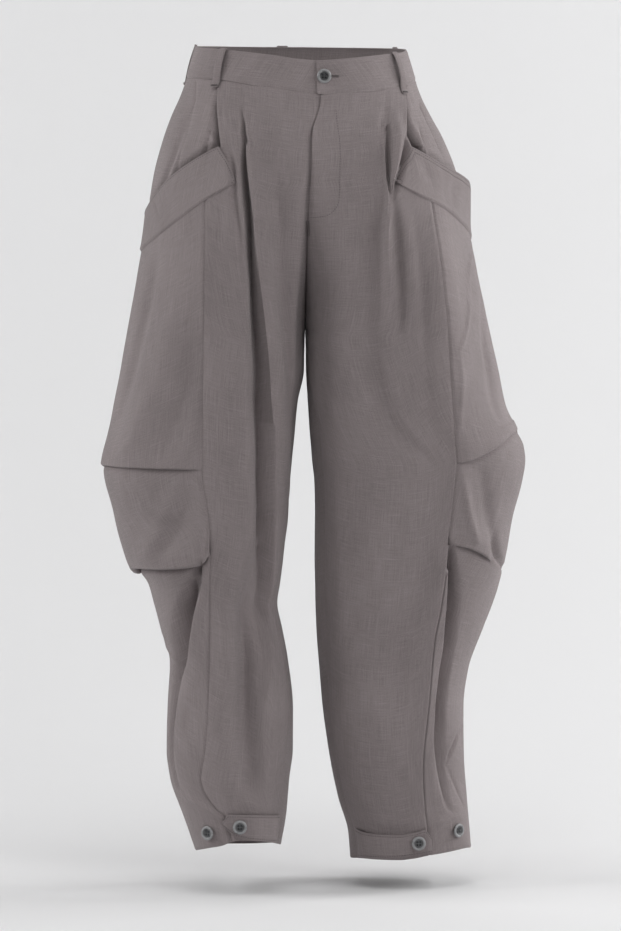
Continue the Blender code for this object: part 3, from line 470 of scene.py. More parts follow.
LEFT_HIDDEN = (
    ("valley", (
        (148, -60, 0, 12), (151, -160, 4, 14), (154, -280, 6, 15), (153, -440, 4.5, 18),
        (148, -620, 0, 20),
    )),
    ("ridge", ((170, -80, 0, 12), (169, -200, 3, 16), (170, -350, 3.4, 18), (168, -480, 0, 18))),
    ("over_left", (
        (213, -350, 0, 8), (204, -384, 4.4, 12), (193, -440, 5, 15), (182, -520, 3, 16),
        (177, -580, 0, 16),
    )),
    ("valley", (
        (230, -352, 0, 8), (223, -410, 5, 10), (212, -480, 6, 13), (205, -580, 4, 15),
        (199, -690, 0, 16),
    )),
    ("valley", ((238, -430, 0, 8), (230, -540, 4, 11), (223, -650, 5, 13), (216, -770, 0, 14))),
    ("valley", ((119, -240, 0, 12), (121, -330, 4, 15), (123, -430, 3, 16), (121, -520, 0, 16))),
    ("over_right", (
        (126, -590, 0, 9), (129, -640, 6, 12), (133, -710, 7, 14), (137, -790, 4, 12),
        (139, -880, 0, 12),
    )),
    (
        "valley", ((168, -570, 0, 14), (173, -660, 4.5, 15), (177, -770, 4.5, 14), (181, -880, 0, 12)),
    ),
    ("crease", ((158, -602, 0, 3), (175, -613, 2, 4), (197, -608, 0, 4))),
    ("crease", ((152, -642, 0, 3), (170, -655, 2.2, 4), (192, -652, 0, 4))),
    ("valley", ((210, -780, 0, 10), (204, -850, 3.4, 10), (198, -920, 0, 9))),
    ("ridge", ((194, -650, 0, 12), (201, -750, 3, 13), (206, -860, 0, 12))),
)
# ---- folds that only one piece has ----
RIGHT_HIP_FOLDS = (
    ("crease", (
        (-129.8, -14.2, 1.4, 1.2), (-130.3, -31.5, 1.6, 1.6), (-133.6, -48.9, 1.8, 2.4),
        (-138.6, -69.9, 1, 4), (-144.9, -100.9, 0, 5),
    )),
    ("valley", (
        (-137.3, -53.8, 0, 7), (-148.6, -88.5, 3.5, 8), (-163.6, -123.2, 4.5, 7), (-177.3, -153, 3, 6),
    )),
    ("ridge", (
        (-142.3, -73.6, 0, 5), (-149.8, -95.9, 2, 5), (-157.3, -120.7, 1.5, 5), (-167.3, -145.5, 0, 5),
    )),
    ("crease", ((-147.3, -91, 0, 1.4), (-150.3, -108.3, 2, 1.8), (-154, -128.1, 1, 1.6))),
    ("valley", (
        (-103.7, -42.7, 0, 2), (-103.5, -56.3, 6, 2.4), (-103, -76.1, 13, 3.4), (-101.3, -98.4, 15, 4.4),
        (-97.6, -123.2, 12, 5),
    )),
    ("crease", (
        (-105, -42.7, 0, 1.4), (-108.7, -61.2, 2.6, 1.8), (-113.7, -81.1, 4, 2.2),
        (-119.2, -100.9, 4, 2.6), (-125, -123.2, 3, 3),
    )),
)
LEFT_HIP_FOLDS = (
    ("valley", (
        (129.3, -46.4, 0, 2), (131.8, -62.5, 7, 3), (134.8, -78.6, 13, 4.2), (141.1, -97.2, 16, 6),
        (148.5, -115.7, 13, 7),
    )),
    (
        "ridge",
        ((139.8, -66.2, 0, 3), (147.2, -86, 3, 3.5), (156, -104.6, 3, 4), (163.5, -120.7, 0, 4)),
    ),
    ("crease", (
        (146.6, -66.2, 0, 1.4), (149.7, -81.1, 2.4, 1.8), (154.1, -100.9, 3, 2), (158.5, -118.2, 1, 2),
    )),
    ("crease", (
        (147.9, -39, 0, 1.3), (149.9, -48.9, 2.6, 1.8), (153.4, -56.3, 2, 2.4), (160.9, -73.6, 1.4, 3.4),
        (173.4, -100.9, 1.6, 3.8), (183.4, -123.2, 0, 3),
    )),
)
RIGHT_FRONT_FOLDS = (
    ("valley", (
        (21.7, -31.5, 1.4, 2.6), (13.6, -73.6, 2.4, 3.2), (12.3, -126.9, 2.6, 3.4),
        (8.5, -169.1, 2.6, 3), (6.8, -212.6, 1.6, 2.6), (5.5, -239.9, 0, 2),
    )),
)
LEFT_FRONT_FOLDS = (
    (
        "ridge",
        ((26.7, -51.3, 0, 4), (23, -100.9, 0.8, 5), (20.5, -162.9, 0.8, 5), (16.8, -206.4, 0, 4)),
    ),
)
BAND_FOLDS = {
    "right": (
        ("crease", ((-174.8, -143, 0, 1.4), (-171.1, -160.4, 1.4, 1.8), (-166.2, -180.3, 0, 1.4))),
        (
            "crease", ((-168.6, -139.3, 0, 1.4), (-164.9, -157.9, 1.1, 1.6), (-161.2, -172.8, 0, 1.4)),
        ),
        ("valley", ((-181.1, -157.9, 0, 3), (-177.4, -172.8, 1.2, 3), (-172.4, -187.7, 0, 3))),
    ),
    "left": (
        ("valley", ((151, -110.8, 0, 6), (156, -128.1, 1.6, 7), (161, -148, 0, 7))),
        ("valley", ((188.4, -133.1, 0, 7), (185.9, -150.5, 1.6, 7), (188.5, -170.3, 0, 7))),
    ),
}
# ---- knee tucks: share across the panel, drop of the tuck's line, height of its lip ----
TUCK_LINE_NAMES = ("share", "drop", "lip")
TUCK_LINES = {
    "right": (
        (-500, (
            (0, 9.5, 0.5), (0.12, 10.5, 3.2), (0.3, 11, 4.2), (0.5, 11, 4.2), (0.75, 10, 3.8),
            (0.9, 6, 3.0), (1, 0, 1),
        )),
        (-606, (
            (0, 11, 0.6), (0.1, 7.3, 4.5), (0.15, 4, 5.5), (0.24, -1.5, 7), (0.33, -5, 8),
            (0.45, -8, 8.5), (0.6, -10, 9), (0.75, -14, 9.5), (0.85, -22, 10), (0.93, -20, 6),
            (1, -12, 1),
        )),
    ),
    "left": (
        (-491, (
            (0, 8, 0.5), (0.04, 9, 2), (0.09, 10.8, 3.6), (0.18, 17, 4.8), (0.31, 27, 4.8), (0.5, 40, 4),
            (0.8, 45, 2.6), (0.92, 34, 1.6), (1, 22, 0.6),
        )),
        (-594, (
            (0, 10, 0.5), (0.06, 8.5, 2.6), (0.13, 6.2, 4.6), (0.23, 0, 5.5), (0.305, -5.7, 5.2),
            (0.35, -10.4, 4), (0.4, -14, 0.4), (0.53, -23, 0.3), (0.8, -24, 0.5), (1, -12, 0.5),
        )),
    ),
}


# ---- numbers and curves ----
def table(names, rows):
    """Rows of numbers as one array for each named column, in rising order of the first column."""
    ordered = np.array(sorted(rows), float)
    return {name: ordered[:, i] for i, name in enumerate(names)}


def smooth(xs, ys, at):
    """A curve through the table's points that never overshoots them."""
    at = np.clip(np.asarray(at, float), xs[0], xs[-1])
    step = np.diff(xs)
    slope = np.diff(ys) / step
    joined = slope[:-1] * slope[1:]
    mean = np.where(joined > 0, 2 * joined / np.where(joined > 0, slope[:-1] + slope[1:], 1), 0)
    tangent = np.concatenate([[slope[0]], mean, [slope[-1]]])
    i = np.clip(np.searchsorted(xs, at, side="right") - 1, 0, len(step) - 1)
    t = (at - xs[i]) / step[i]
    rise = ys[i] + step[i] * t * (1 - t) ** 2 * tangent[i] - step[i] * t**2 * (1 - t) * tangent[i + 1]
    return rise + t**2 * (3 - 2 * t) * (ys[i + 1] - ys[i])


def ease(value, low, high):
    """0 at low, 1 at high, smooth between."""
    t = np.clip((np.asarray(value, float) - low) / (high - low), 0, 1)
    return t * t * (3 - 2 * t)


def signed_power(value, power):
    return np.sign(value) * np.abs(value) ** power


def unit(vectors):
    return vectors / np.maximum(np.linalg.norm(vectors, axis=-1, keepdims=True), 1e-9)


def bell(value):
    return np.exp(-(value**2))


def graded(count, start=0.35, end=0.35):
    """Shares from 0 to 1 that lie closer together near the two ends."""
    t = np.linspace(0, 1, 400)
    spacing = 1 - (1 - start) * bell(t / 0.16) - (1 - end) * bell((1 - t) / 0.16)
    run = np.concatenate([[0], np.cumsum(spacing[:-1] + spacing[1:])])
    return np.interp(np.linspace(0, run[-1], count + 1), run, t)


def curved(path):
    """A path with four steps for each of its own, on a curve through its points."""
    path = np.asarray(path, float)
    padded = np.concatenate([2 * path[:1] - path[1:2], path, 2 * path[-1:] - path[-2:-1]])
    t = np.linspace(0, 1, 4, endpoint=False)[:, None]
    pieces = []
    for a, b, c, d in zip(padded, padded[1:], padded[2:], padded[3:]):
        cubic = (2 * b - 2 * c + (c - a) / 2 + (d - b) / 2) * t**3
        cubic = cubic + (3 * c - 3 * b - (c - a) - (d - b) / 2) * t**2 + (c - a) / 2 * t + b
        pieces.append(cubic)
    dense = np.concatenate(pieces + [path[-1:]])
    dense[:, 2:] = np.clip(dense[:, 2:], (0, 0.5), path[:, 2:].max(0))
    return dense


def surroundings(path, across, height):
    """Signed distance to a path (to its right +), with the depth and width of its nearest point."""
    nearest = np.full(across.shape, 1e9)
    distance = np.zeros(across.shape)
    depth = np.zeros(across.shape)
    width = np.ones(across.shape)
    for start, end in zip(path, path[1:]):
        run = end[:2] - start[:2]
        size = max(run @ run, 1e-9)
        along = np.clip(((across - start[0]) * run[0] + (height - start[1]) * run[1]) / size, 0, 1)
        off_across = across - start[0] - along * run[0]
        off_height = height - start[1] - along * run[1]
        away = np.hypot(off_across, off_height)
        closer = away < nearest
        # paths run down, so the viewer's right is on the left of their direction
        side = np.where(run[0] * off_height - run[1] * off_across >= 0, 1.0, -1.0)
        nearest = np.where(closer, away, nearest)
        distance = np.where(closer, away * side, distance)
        depth = np.where(closer, start[2] + along * (end[2] - start[2]), depth)
        width = np.where(closer, start[3] + along * (end[3] - start[3]), width)
    return distance, depth, width


def fold_profile(kind, distance, depth, width):
    """How far a fold moves the cloth out, and to the viewer's right."""
    still = np.zeros(distance.shape)
    if kind == "valley":
        return -depth * bell(distance / width), still
    if kind == "ridge":
        return depth * bell(distance / width), still
    if kind == "crease":
        return -depth * np.exp(-np.abs(distance) / width), still
    high = 1 if kind == "over_right" else -1
    t = high * distance
    hollow = (1 - ease(t, -0.2 * width, 0.02 * width)) * ease(t, -1.8 * width, -0.2 * width)
    crest = bell((t - 0.5 * width) / (0.9 * width))
    lean = np.minimum(0.16 * width, 0.16 * depth) * bell((t - 0.1 * width) / (0.35 * width))
    return depth * (0.16 * crest - hollow), -high * lean


class Leg:
    """One leg's tube of ovals, with its seams and folds."""

    def __init__(self, name, side, **tables):
        self.name = name
        self.side = side
        self.sections = table(SECTION_NAMES, tables["sections"])
        self.hem = table(HEM_NAMES, tables["hem"])
        self.inseam = table(INSEAM_NAMES, tables["inseam"])
        self.panel_seam = table(PANEL_SEAM_NAMES, tables["panel_seam"])
        self.pleats = {key: table(PANEL_SEAM_NAMES, rows) for key, rows in tables["pleats"].items()}
        self.band = table(BAND_NAMES, tables["band"])
        self.turns = np.arange(-130.0, 311.0)
        self.heights = np.arange(-1020.0, 45.0, 5.0)
        ring_points, _ = self.skin(self.turns[None, :], self.heights[:, None])
        chords = np.linalg.norm(np.diff(ring_points, axis=1), axis=-1)
        run = np.concatenate([np.zeros((len(chords), 1)), np.cumsum(chords, axis=1)], axis=1)
        self.arcs = run - run[:, self.turns == 0.0]

    def oval(self, height):
        """Middle across, half width, middle depth and half depth at a height."""
        parts = [smooth(self.sections["height"], self.sections[n], height) for n in SECTION_NAMES[1:]]
        outer, inner, front, back = parts
        return (outer + inner) / 2, (outer - inner) / 2, (front + back) / 2, (back - front) / 2

    def angle_at(self, across, height, behind=False):
        """The angle of the point on the front, or behind, that lies so far across."""
        middle, half, _, _ = self.oval(height)
        sine = signed_power(np.clip((across - middle) / half, -1, 1), ROUNDNESS / 2)
        angle = np.degrees(np.arcsin(sine))
        return 180 - angle if behind else angle

    def skin(self, angle, height):
        """Points (..., 3) of the smooth oval and its level outward normals."""
        middle, half, depth_middle, half_depth = self.oval(height)
        sine = np.sin(np.radians(angle))
        cosine = np.cos(np.radians(angle))
        across = middle + half * signed_power(sine, 2 / ROUNDNESS)
        depth = depth_middle - half_depth * signed_power(cosine, 2 / ROUNDNESS)
        out_x = signed_power(sine, 2 - 2 / ROUNDNESS) / half
        out_y = -signed_power(cosine, 2 - 2 / ROUNDNESS) / half_depth
        size = np.hypot(out_x, out_y)
        flat = np.zeros_like(across)
        normal = np.stack([self.side * out_x / size, out_y / size, flat], -1)
        return np.stack([self.side * across, depth, height + flat], -1), normal

    def arc(self, angle, height):
        """Distance round the leg from the front, in mm."""
        row = np.clip((np.asarray(height, float) - self.heights[0]) / 5.0, 0, len(self.heights) - 1.001)
        column = np.clip(np.asarray(angle, float) - self.turns[0], 0, len(self.turns) - 1.001)
        r, c = row.astype(int), column.astype(int)
        f, g = row - r, column - c
        low = self.arcs[r, c] * (1 - g) + self.arcs[r, c + 1] * g
        high = self.arcs[r + 1, c] * (1 - g) + self.arcs[r + 1, c + 1] * g
        return low * (1 - f) + high * f

    def angle_of(self, arc, height, low, high):
        """The angle between two angles whose distance round the leg is arc."""
        low = np.broadcast_to(low, arc.shape).astype(float)
        high = np.broadcast_to(high, arc.shape).astype(float)
        for _ in range(18):
            middle = (low + high) / 2
            short = self.arc(middle, height) < arc
            low = np.where(short, middle, low)
            high = np.where(short, high, middle)
        return (low + high) / 2

    def seen(self, across, height):
        """Angle and height of the cloth that shows at a place on the plane through the waist."""
        depth = np.zeros_like(across)
        for _ in range(4):
            nearer = 1 + depth / -CAMERA[1]
            x = CAMERA[0] + (across - CAMERA[0]) * nearer
            z = CAMERA[2] + (height - CAMERA[2]) * nearer
            angle = self.angle_at(self.side * x, z)
            depth = self.skin(angle, z)[0][..., 1]
        return angle, z

    def path_of(self, rows, is_seen):
        """A fold's path as distances round the leg (+ to the viewer's right), heights, depths, widths."""
        rows = np.array(rows, float)
        angle, height = self.seen(rows[:, 0], rows[:, 1]) if is_seen else (rows[:, 0], rows[:, 1])
        return curved(np.stack([self.side * self.arc(angle, height), height, rows[:, 2], rows[:, 3]], -1))

    def take_folds(self, seen_folds, hidden_folds):
        self.folds = [(kind, self.path_of(rows, True)) for kind, rows in seen_folds]
        self.folds += [(kind, self.path_of(rows, False)) for kind, rows in hidden_folds]

    def guide(self, rows):
        """Heights of a seen fold and its distances round the leg, for columns that follow it."""
        path = self.path_of(rows, True)
        order = np.argsort(path[:, 1])
        return path[order, 1], self.side * path[order, 0]

    def height_of(self, level, angle):
        """A level drawn to the dipped waist seam at the top and the tilted hem at the bottom."""
        turn = (self.side * angle + 180) % 360 - 180
        seam = smooth(WAIST["turn"], WAIST["seam"], turn)
        around = (angle + 90) % 360 - 90
        hem = smooth(self.hem["angle"], self.hem["height"], around)
        at_waist = ease(level, WAIST_LEVEL - WAIST_FADE, WAIST_LEVEL)
        at_hem = ease(-level, -HEM_LEVEL - HEM_FADE, -HEM_LEVEL)
        return level + (seam - WAIST_LEVEL) * at_waist + (hem - HEM_LEVEL) * at_hem

    def closing_seam(self, level, behind):
        """Angle of the centre seam, and of the inseam below the crotch."""
        x = smooth(CENTRE["height"], CENTRE["back_x" if behind else "front_x"], level)
        upper = self.angle_at(self.side * x, level, behind)
        lower = smooth(self.inseam["height"], self.inseam["angle"], level) + (360 if behind else 0)
        return np.where(level > CROTCH_LEVEL, upper, lower)

    def seam_angle(self, name, level):
        """Angle of a named seam or pleat line at a level."""
        if name in ("front", "back"):
            return self.closing_seam(level, name == "back")
        if name == "side":
            return smooth(SIDE["height"], SIDE["angle"], level)
        rows = self.panel_seam if name == "panel" else self.pleats[name]
        return self.angle_at(smooth(rows["height"], rows["across"], level), level)

    def pressed(self, folds, angle, height):
        """How far folds move the cloth out, and to the viewer's right."""
        out = np.zeros(angle.shape)
        slide = np.zeros(angle.shape)
        once_round = self.arc(270.0, height) - self.arc(-90.0, height)
        own = self.arc(angle, height)
        for across in (self.side * own, self.side * (own - once_round)):
            for kind, path in folds:
                reach = 3 * path[:, 3].max()
                low = path[:, :2].min(0) - reach
                top = path[:, :2].max(0) + reach
                near = (across > low[0]) & (across < top[0]) & (height > low[1]) & (height < top[1])
                if not near.any():
                    continue
                push, shift = fold_profile(kind, *surroundings(path, across[near], height[near]))
                out[near] += push
                slide[near] += shift
        return out, slide

    def cloth(self, angle, level, lift=0.0, own_folds=(), height=None):
        """Points of the folded cloth's outer face and its level normals."""
        if height is None:
            height = self.height_of(level, angle)
        angle, height = np.broadcast_arrays(np.asarray(angle, float), np.asarray(height, float))
        points, normal = self.skin(angle, height)
        out, slide = self.pressed(self.folds, angle, height)
        arc = self.arc(angle, height)
        settle = 1.0
        for behind in (False, True):
            from_seam = np.abs(arc - self.arc(self.closing_seam(level, behind), height))
            calm = 1 - ease(from_seam, 0, 16)
            settle = settle * (1 - calm * ease(level, CROTCH_LEVEL - 8, CROTCH_LEVEL + 24))
        turn = (self.side * angle + 180) % 360 - 180
        below_waist = smooth(WAIST["turn"], WAIST["seam"], turn) - height
        settle = settle * ease(below_waist, 0, 9)
        out, slide = out * settle, slide * settle
        own_out, own_slide = self.pressed(own_folds, angle, height)
        out = out + own_out * ease(below_waist, 0, 9) + rumple(points)
        slide = slide + own_slide
        sideways = np.stack([-normal[..., 1], normal[..., 0], np.zeros_like(out)], -1)
        points = points + normal * (out + lift)[..., None] + sideways * slide[..., None]
        points = points + self.to_partner(angle, level)
        points[..., 1] -= self.fly_lift(angle, level)
        return points, normal

    def to_partner(self, angle, level):
        """Draws both legs to one line along the centre seams, where their ovals differ a little."""
        moved = 0.0
        for behind in (False, True):
            seam = self.closing_seam(level, behind)
            theirs = self.partner.closing_seam(level, behind)
            own_point, _ = self.skin(seam, self.height_of(level, seam))
            their_point, _ = self.partner.skin(theirs, self.partner.height_of(level, theirs))
            halfway = (their_point - own_point) / 2
            away = (seam - angle) if behind else (angle - seam)
            near = 1 - ease(away, 0, 45)
            across = near * ease(level, CROTCH_LEVEL + 24, CROTCH_LEVEL + 46)
            down = near * ease(level, CROTCH_LEVEL - 70, CROTCH_LEVEL - 10)
            moved = moved + halfway * np.stack([across, down, down], -1)
        return moved

    def fly_lift(self, angle, level):
        """The left front stands over the right one along the fly."""
        if self.side < 0:
            return np.zeros(np.broadcast(angle, level).shape)
        near = 1 - ease(np.radians(angle - self.closing_seam(level, False)) * 120, 10, 60)
        return FLY_RISE * near * ease(level, -245, -225)


def rumple(points):
    """Slight unevenness of worn cloth, longer down than across."""
    flat = points.reshape(-1, 3)
    rise = [
        0.9 * noise.noise(Vector((x * 0.021, y * 0.021, z * 0.008)))
        + 0.28 * noise.noise(Vector((x * 0.062, y * 0.062, z * 0.03)))
        for x, y, z in flat
    ]
    return np.array(rise).reshape(points.shape[:-1])


WAIST = table(WAIST_NAMES, WAIST_LINE)
CENTRE = table(CENTRE_NAMES, CENTRE_SEAM)
SIDE = table(INSEAM_NAMES, SIDE_SEAM)
RIGHT = Leg(
    "right",
    -1,
    sections=RIGHT_SECTIONS,
    hem=RIGHT_HEM,
    inseam=RIGHT_INSEAM,
    panel_seam=RIGHT_PANEL_SEAM,
    pleats={"hip_pleat": RIGHT_HIP_PLEAT, "hip_edge": RIGHT_HIP_EDGE},
    band=RIGHT_BAND,
)
LEFT = Leg(
    "left",
    1,
    sections=LEFT_SECTIONS,
    hem=LEFT_HEM,
    inseam=LEFT_INSEAM,
    panel_seam=LEFT_PANEL_SEAM,
    pleats={"hip_pleat": LEFT_HIP_PLEAT, "hip_edge": LEFT_HIP_EDGE},
    band=LEFT_BAND,
)
RIGHT.partner = LEFT
LEFT.partner = RIGHT
RIGHT.take_folds(RIGHT_SEEN, RIGHT_HIDDEN)
LEFT.take_folds(LEFT_SEEN, LEFT_HIDDEN)


# ---- meshes ----
def run_along(points, axis):
    """Distance of each point of a grid from the first one, down its columns (0) or along its rows (1)."""
    steps = np.linalg.norm(np.diff(points, axis=axis), axis=-1)
    return np.insert(np.cumsum(steps, axis=axis), 0, 0.0, axis=axis)


def grid_normals(points, side):
    return unit(side * np.cross(np.gradient(points, axis=0), np.gradient(points, axis=1)))


def placed(name, mesh, finish):
    """An object of a mesh with one material, in the scene."""
    mesh.materials.append(finish)
    made = bpy.data.objects.new(name, mesh)
    bpy.context.scene.collection.objects.link(made)
    return made


def riding(name, mesh, finish):
    """A placed object that is a part of the trousers."""
    made = placed(name, mesh, finish)
    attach(made, "root")
    return made


def grid_faces(rows, columns):
    """Quads of a grid, and the loop of its rim."""
    at = np.arange(rows * columns).reshape(rows, columns)
    quads = np.stack([at[:-1, :-1], at[1:, :-1], at[1:, 1:], at[:-1, 1:]], -1).reshape(-1, 4)
    rim = np.concatenate([at[0], at[1:, -1], at[-1, -2::-1], at[-2:0:-1, 0]])
    return quads, rim


def shell(name, points, side, thick, finish):
    """A closed shell of a grid. Its cloth_place attribute holds the flat cloth's millimetres."""
    rows, columns = points.shape[:2]
    inward = -grid_normals(points, side)
    quads, rim = grid_faces(rows, columns)
    under = rows * columns
    after = np.roll(rim, -1)
    sides = np.stack([rim, after, under + after, under + rim], -1)
    faces = np.concatenate([quads, under + quads[:, ::-1], sides])
    if side < 0:
        faces = faces[:, ::-1]
    vertices = np.concatenate([points.reshape(-1, 3), (points + inward * thick).reshape(-1, 3)])
    mesh = bpy.data.meshes.new(name)
    mesh.from_pydata((vertices * MM).tolist(), [], faces.tolist())
    place = np.zeros((len(vertices), 3), np.float32)
    place[:, :2] = np.concatenate([flat_place(points).reshape(-1, 2)] * 2)
    attribute = mesh.attributes.new("cloth_place", "FLOAT_VECTOR", "POINT")
    attribute.data.foreach_set("vector", place.ravel())
    mesh.shade_smooth()
    mesh.set_sharp_from_angle(angle=math.radians(60))
    return riding(name, mesh, finish)


def flat_place(points):
    """Millimetres along and across the flat cloth, measured over a grid."""
    across = run_along(points, 1)
    return np.stack([across - across.mean(1, keepdims=True), run_along(points, 0)], -1)


def rolled(points, side, start=None, end=None, top=None, bottom=None, grooves=()):
    """The grid with its edges turned in: each edge gives (how far in, over what width).

    Each groove is a stitch line's dent: the edge it follows, its distance from that edge and its depth.
    """
    from_start, from_top = run_along(points, 1), run_along(points, 0)
    from_edge = {
        "start": from_start,
        "end": from_start[:, -1:] - from_start,
        "top": from_top,
        "bottom": from_top[-1:] - from_top,
    }
    turned = np.zeros(points.shape[:2])
    for edge, distance in zip((start, end, top, bottom), from_edge.values()):
        if edge is not None:
            deep, wide = edge
            turned = turned + deep * bell(distance / wide) - 0.35 * deep * bell(distance / (wide * 3.5))
    for name, inset, deep in grooves:
        turned = turned + deep * bell((from_edge[name] - inset) / 0.9)
    return points - grid_normals(points, side) * turned[..., None]


def columns_along(leg, guides, shares, levels):
    """Angles of columns that run from guide to guide, evenly spread in millimetres."""
    arcs = [leg.arc(g, levels) for g in guides]
    columns = []
    for i, part in enumerate(shares):
        part = part if i == len(shares) - 1 else part[:-1]
        columns.append(arcs[i][:, None] + (arcs[i + 1] - arcs[i])[:, None] * part)
    arc = np.concatenate(columns, axis=1)
    height = np.broadcast_to(levels[:, None], arc.shape)
    return leg.angle_of(arc, height, guides[0][:, None] - 2, guides[-1][:, None] + 2)


def band_edge(leg, edge, angle):
    """Height of the pocket band's top or bottom edge at an angle."""
    return np.interp(angle, leg.band["angle"], leg.band[edge])


def down_levels(top, bottom, extra=(), row=ROW):
    """Levels down a panel, closer together near its two ends."""
    count = int(abs(top - bottom) / row)
    ends = [top - 0.7, top - 1.6, bottom + 0.7, bottom + 1.6]
    levels = [top]
    for level in sorted(set(np.linspace(top, bottom, count + 1)) | set(ends) | set(extra), reverse=True):
        if levels[-1] - level > 0.6 and level - bottom > 0.6:
            levels.append(level)
    return np.array(levels + [bottom])


def level_folds(leg, rows):
    return [(kind, leg.path_of(path, True)) for kind, path in rows]


# ---- cloth panels ----
def front_panel(leg, finish):
    """From the centre front and inseam to the hip edge, the pocket band and the panel seam."""
    band_angle = leg.band["angle"]
    tip = band_angle[np.argmax(leg.band["top"])]
    fine = tuple(np.arange(POCKET_TIP_LEVEL, -200, -1.6))
    levels = down_levels(WAIST_LEVEL, HEM_LEVEL, fine)
    start = leg.seam_angle("front", levels)
    if leg.side < 0:
        start = start - np.degrees(FLY_LAP * ease(levels, -214, -190) / 130)
    rising = band_angle <= tip
    under_band = np.interp(levels, leg.band["top"][rising], band_angle[rising]) + UNDER_BAND_TURN
    below_band = np.interp(-levels, -leg.band["bottom"] - BAND_LAP, band_angle)
    panel = leg.seam_angle("panel", levels)
    end = np.maximum(np.minimum(under_band, tip), below_band)
    end = np.where(below_band < panel, end, panel)
    end = np.where(levels >= POCKET_TIP_LEVEL, leg.seam_angle("hip_edge", levels), end)
    lead = leg.guide(RIGHT_PLEAT if leg.side < 0 else LEFT_PLEAT)
    first, last = leg.arc(start, levels), leg.arc(end, levels)
    arc = np.clip(np.interp(levels, *lead), first + 0.25 * (last - first), last - 0.08 * (last - first))
    pleat = leg.angle_of(arc, levels, start, end)
    angles = columns_along(
        leg, (start, pleat, end), (graded(62, 0.3, 0.22), graded(46, 0.22, 0.3)), levels
    )
    grid = np.broadcast_to(levels[:, None], angles.shape)
    own = level_folds(leg, RIGHT_FRONT_FOLDS if leg.side < 0 else LEFT_FRONT_FOLDS)
    lip = 0.5 * bell((leg.arc(end, levels)[:, None] - leg.arc(angles, grid)) / 7)
    points, _ = leg.cloth(angles, grid, lip, own)
    points = rolled(points, leg.side, start=(1.5, 1.2), end=(1.9, 1.1), top=(2.4, 1.6), bottom=(0.9, 1.1))
    return shell("cloth_front_" + leg.name, points, leg.side, CLOTH, finish)


def back_panel(leg, finish):
    """From the side seam to the centre back and inseam."""
    levels = down_levels(WAIST_LEVEL, HEM_LEVEL, row=4.2)
    start = leg.seam_angle("side", levels)
    end = leg.seam_angle("back", levels)
    angles = columns_along(leg, (start, end), (graded(76, 0.3, 0.3),), levels)
    points, _ = leg.cloth(angles, np.broadcast_to(levels[:, None], angles.shape))
    points = rolled(points, leg.side, start=(2.2, 1.3), end=(2.2, 1.3), top=(2.4, 1.6), bottom=(0.9, 1.1))
    return shell("cloth_back_" + leg.name, points, leg.side, CLOTH, finish)


def hip_piece(leg, finish):
    """Pleated cloth behind the pocket opening."""
    levels = np.linspace(WAIST_LEVEL, -235, 130)
    tip = leg.band["angle"][np.argmax(leg.band["top"])]
    start = np.where(levels >= POCKET_TIP_LEVEL, leg.seam_angle("hip_edge", levels), tip - UNDER_BAND_TURN)
    end = leg.seam_angle("side", levels)
    angles = columns_along(leg, (start, end), (graded(110, 0.2, 0.5),), levels)
    grid = np.broadcast_to(levels[:, None], angles.shape)
    below = ease(band_edge(leg, "top", angles) + 16 - grid, 0, 34)
    closed = np.maximum(1 - ease(angles, tip - UNDER_BAND_TURN, tip + 5), ease(angles, 92, 100))
    dive = 2.6 * ease(leg.arc(angles, grid) - leg.arc(start, levels)[:, None], 8, 0) * ease(-grid, 22, 50)
    dive = dive + below * (POCKET_DIVE + (POCKET_EDGE_DIVE - POCKET_DIVE) * closed)
    own = level_folds(leg, RIGHT_HIP_FOLDS if leg.side < 0 else LEFT_HIP_FOLDS)
    points, _ = leg.cloth(angles, grid, -dive, own)
    points = rolled(points, leg.side, start=(1.2, 1.2), end=(2.2, 1.3), top=(2.4, 1.6))
    return shell("cloth_hip_" + leg.name, points, leg.side, CLOTH, finish)


FOLD_SHARE = 0.26


def tuck_rows(level):
    """Rows over a tuck's lip and back up behind it: level and share of the lip's height."""
    lip = ((3.4, 1.0), (2.2, 1.02), (1.0, 1.04), (0.0, 1.0), (-0.9, 0.88), (-1.5, 0.66))
    behind = ((-1.4, 0.36), (-0.2, 0.12), (2.0, -0.04), (5.0, -0.1))
    return [(level + off, share) for off, share in lip + behind]


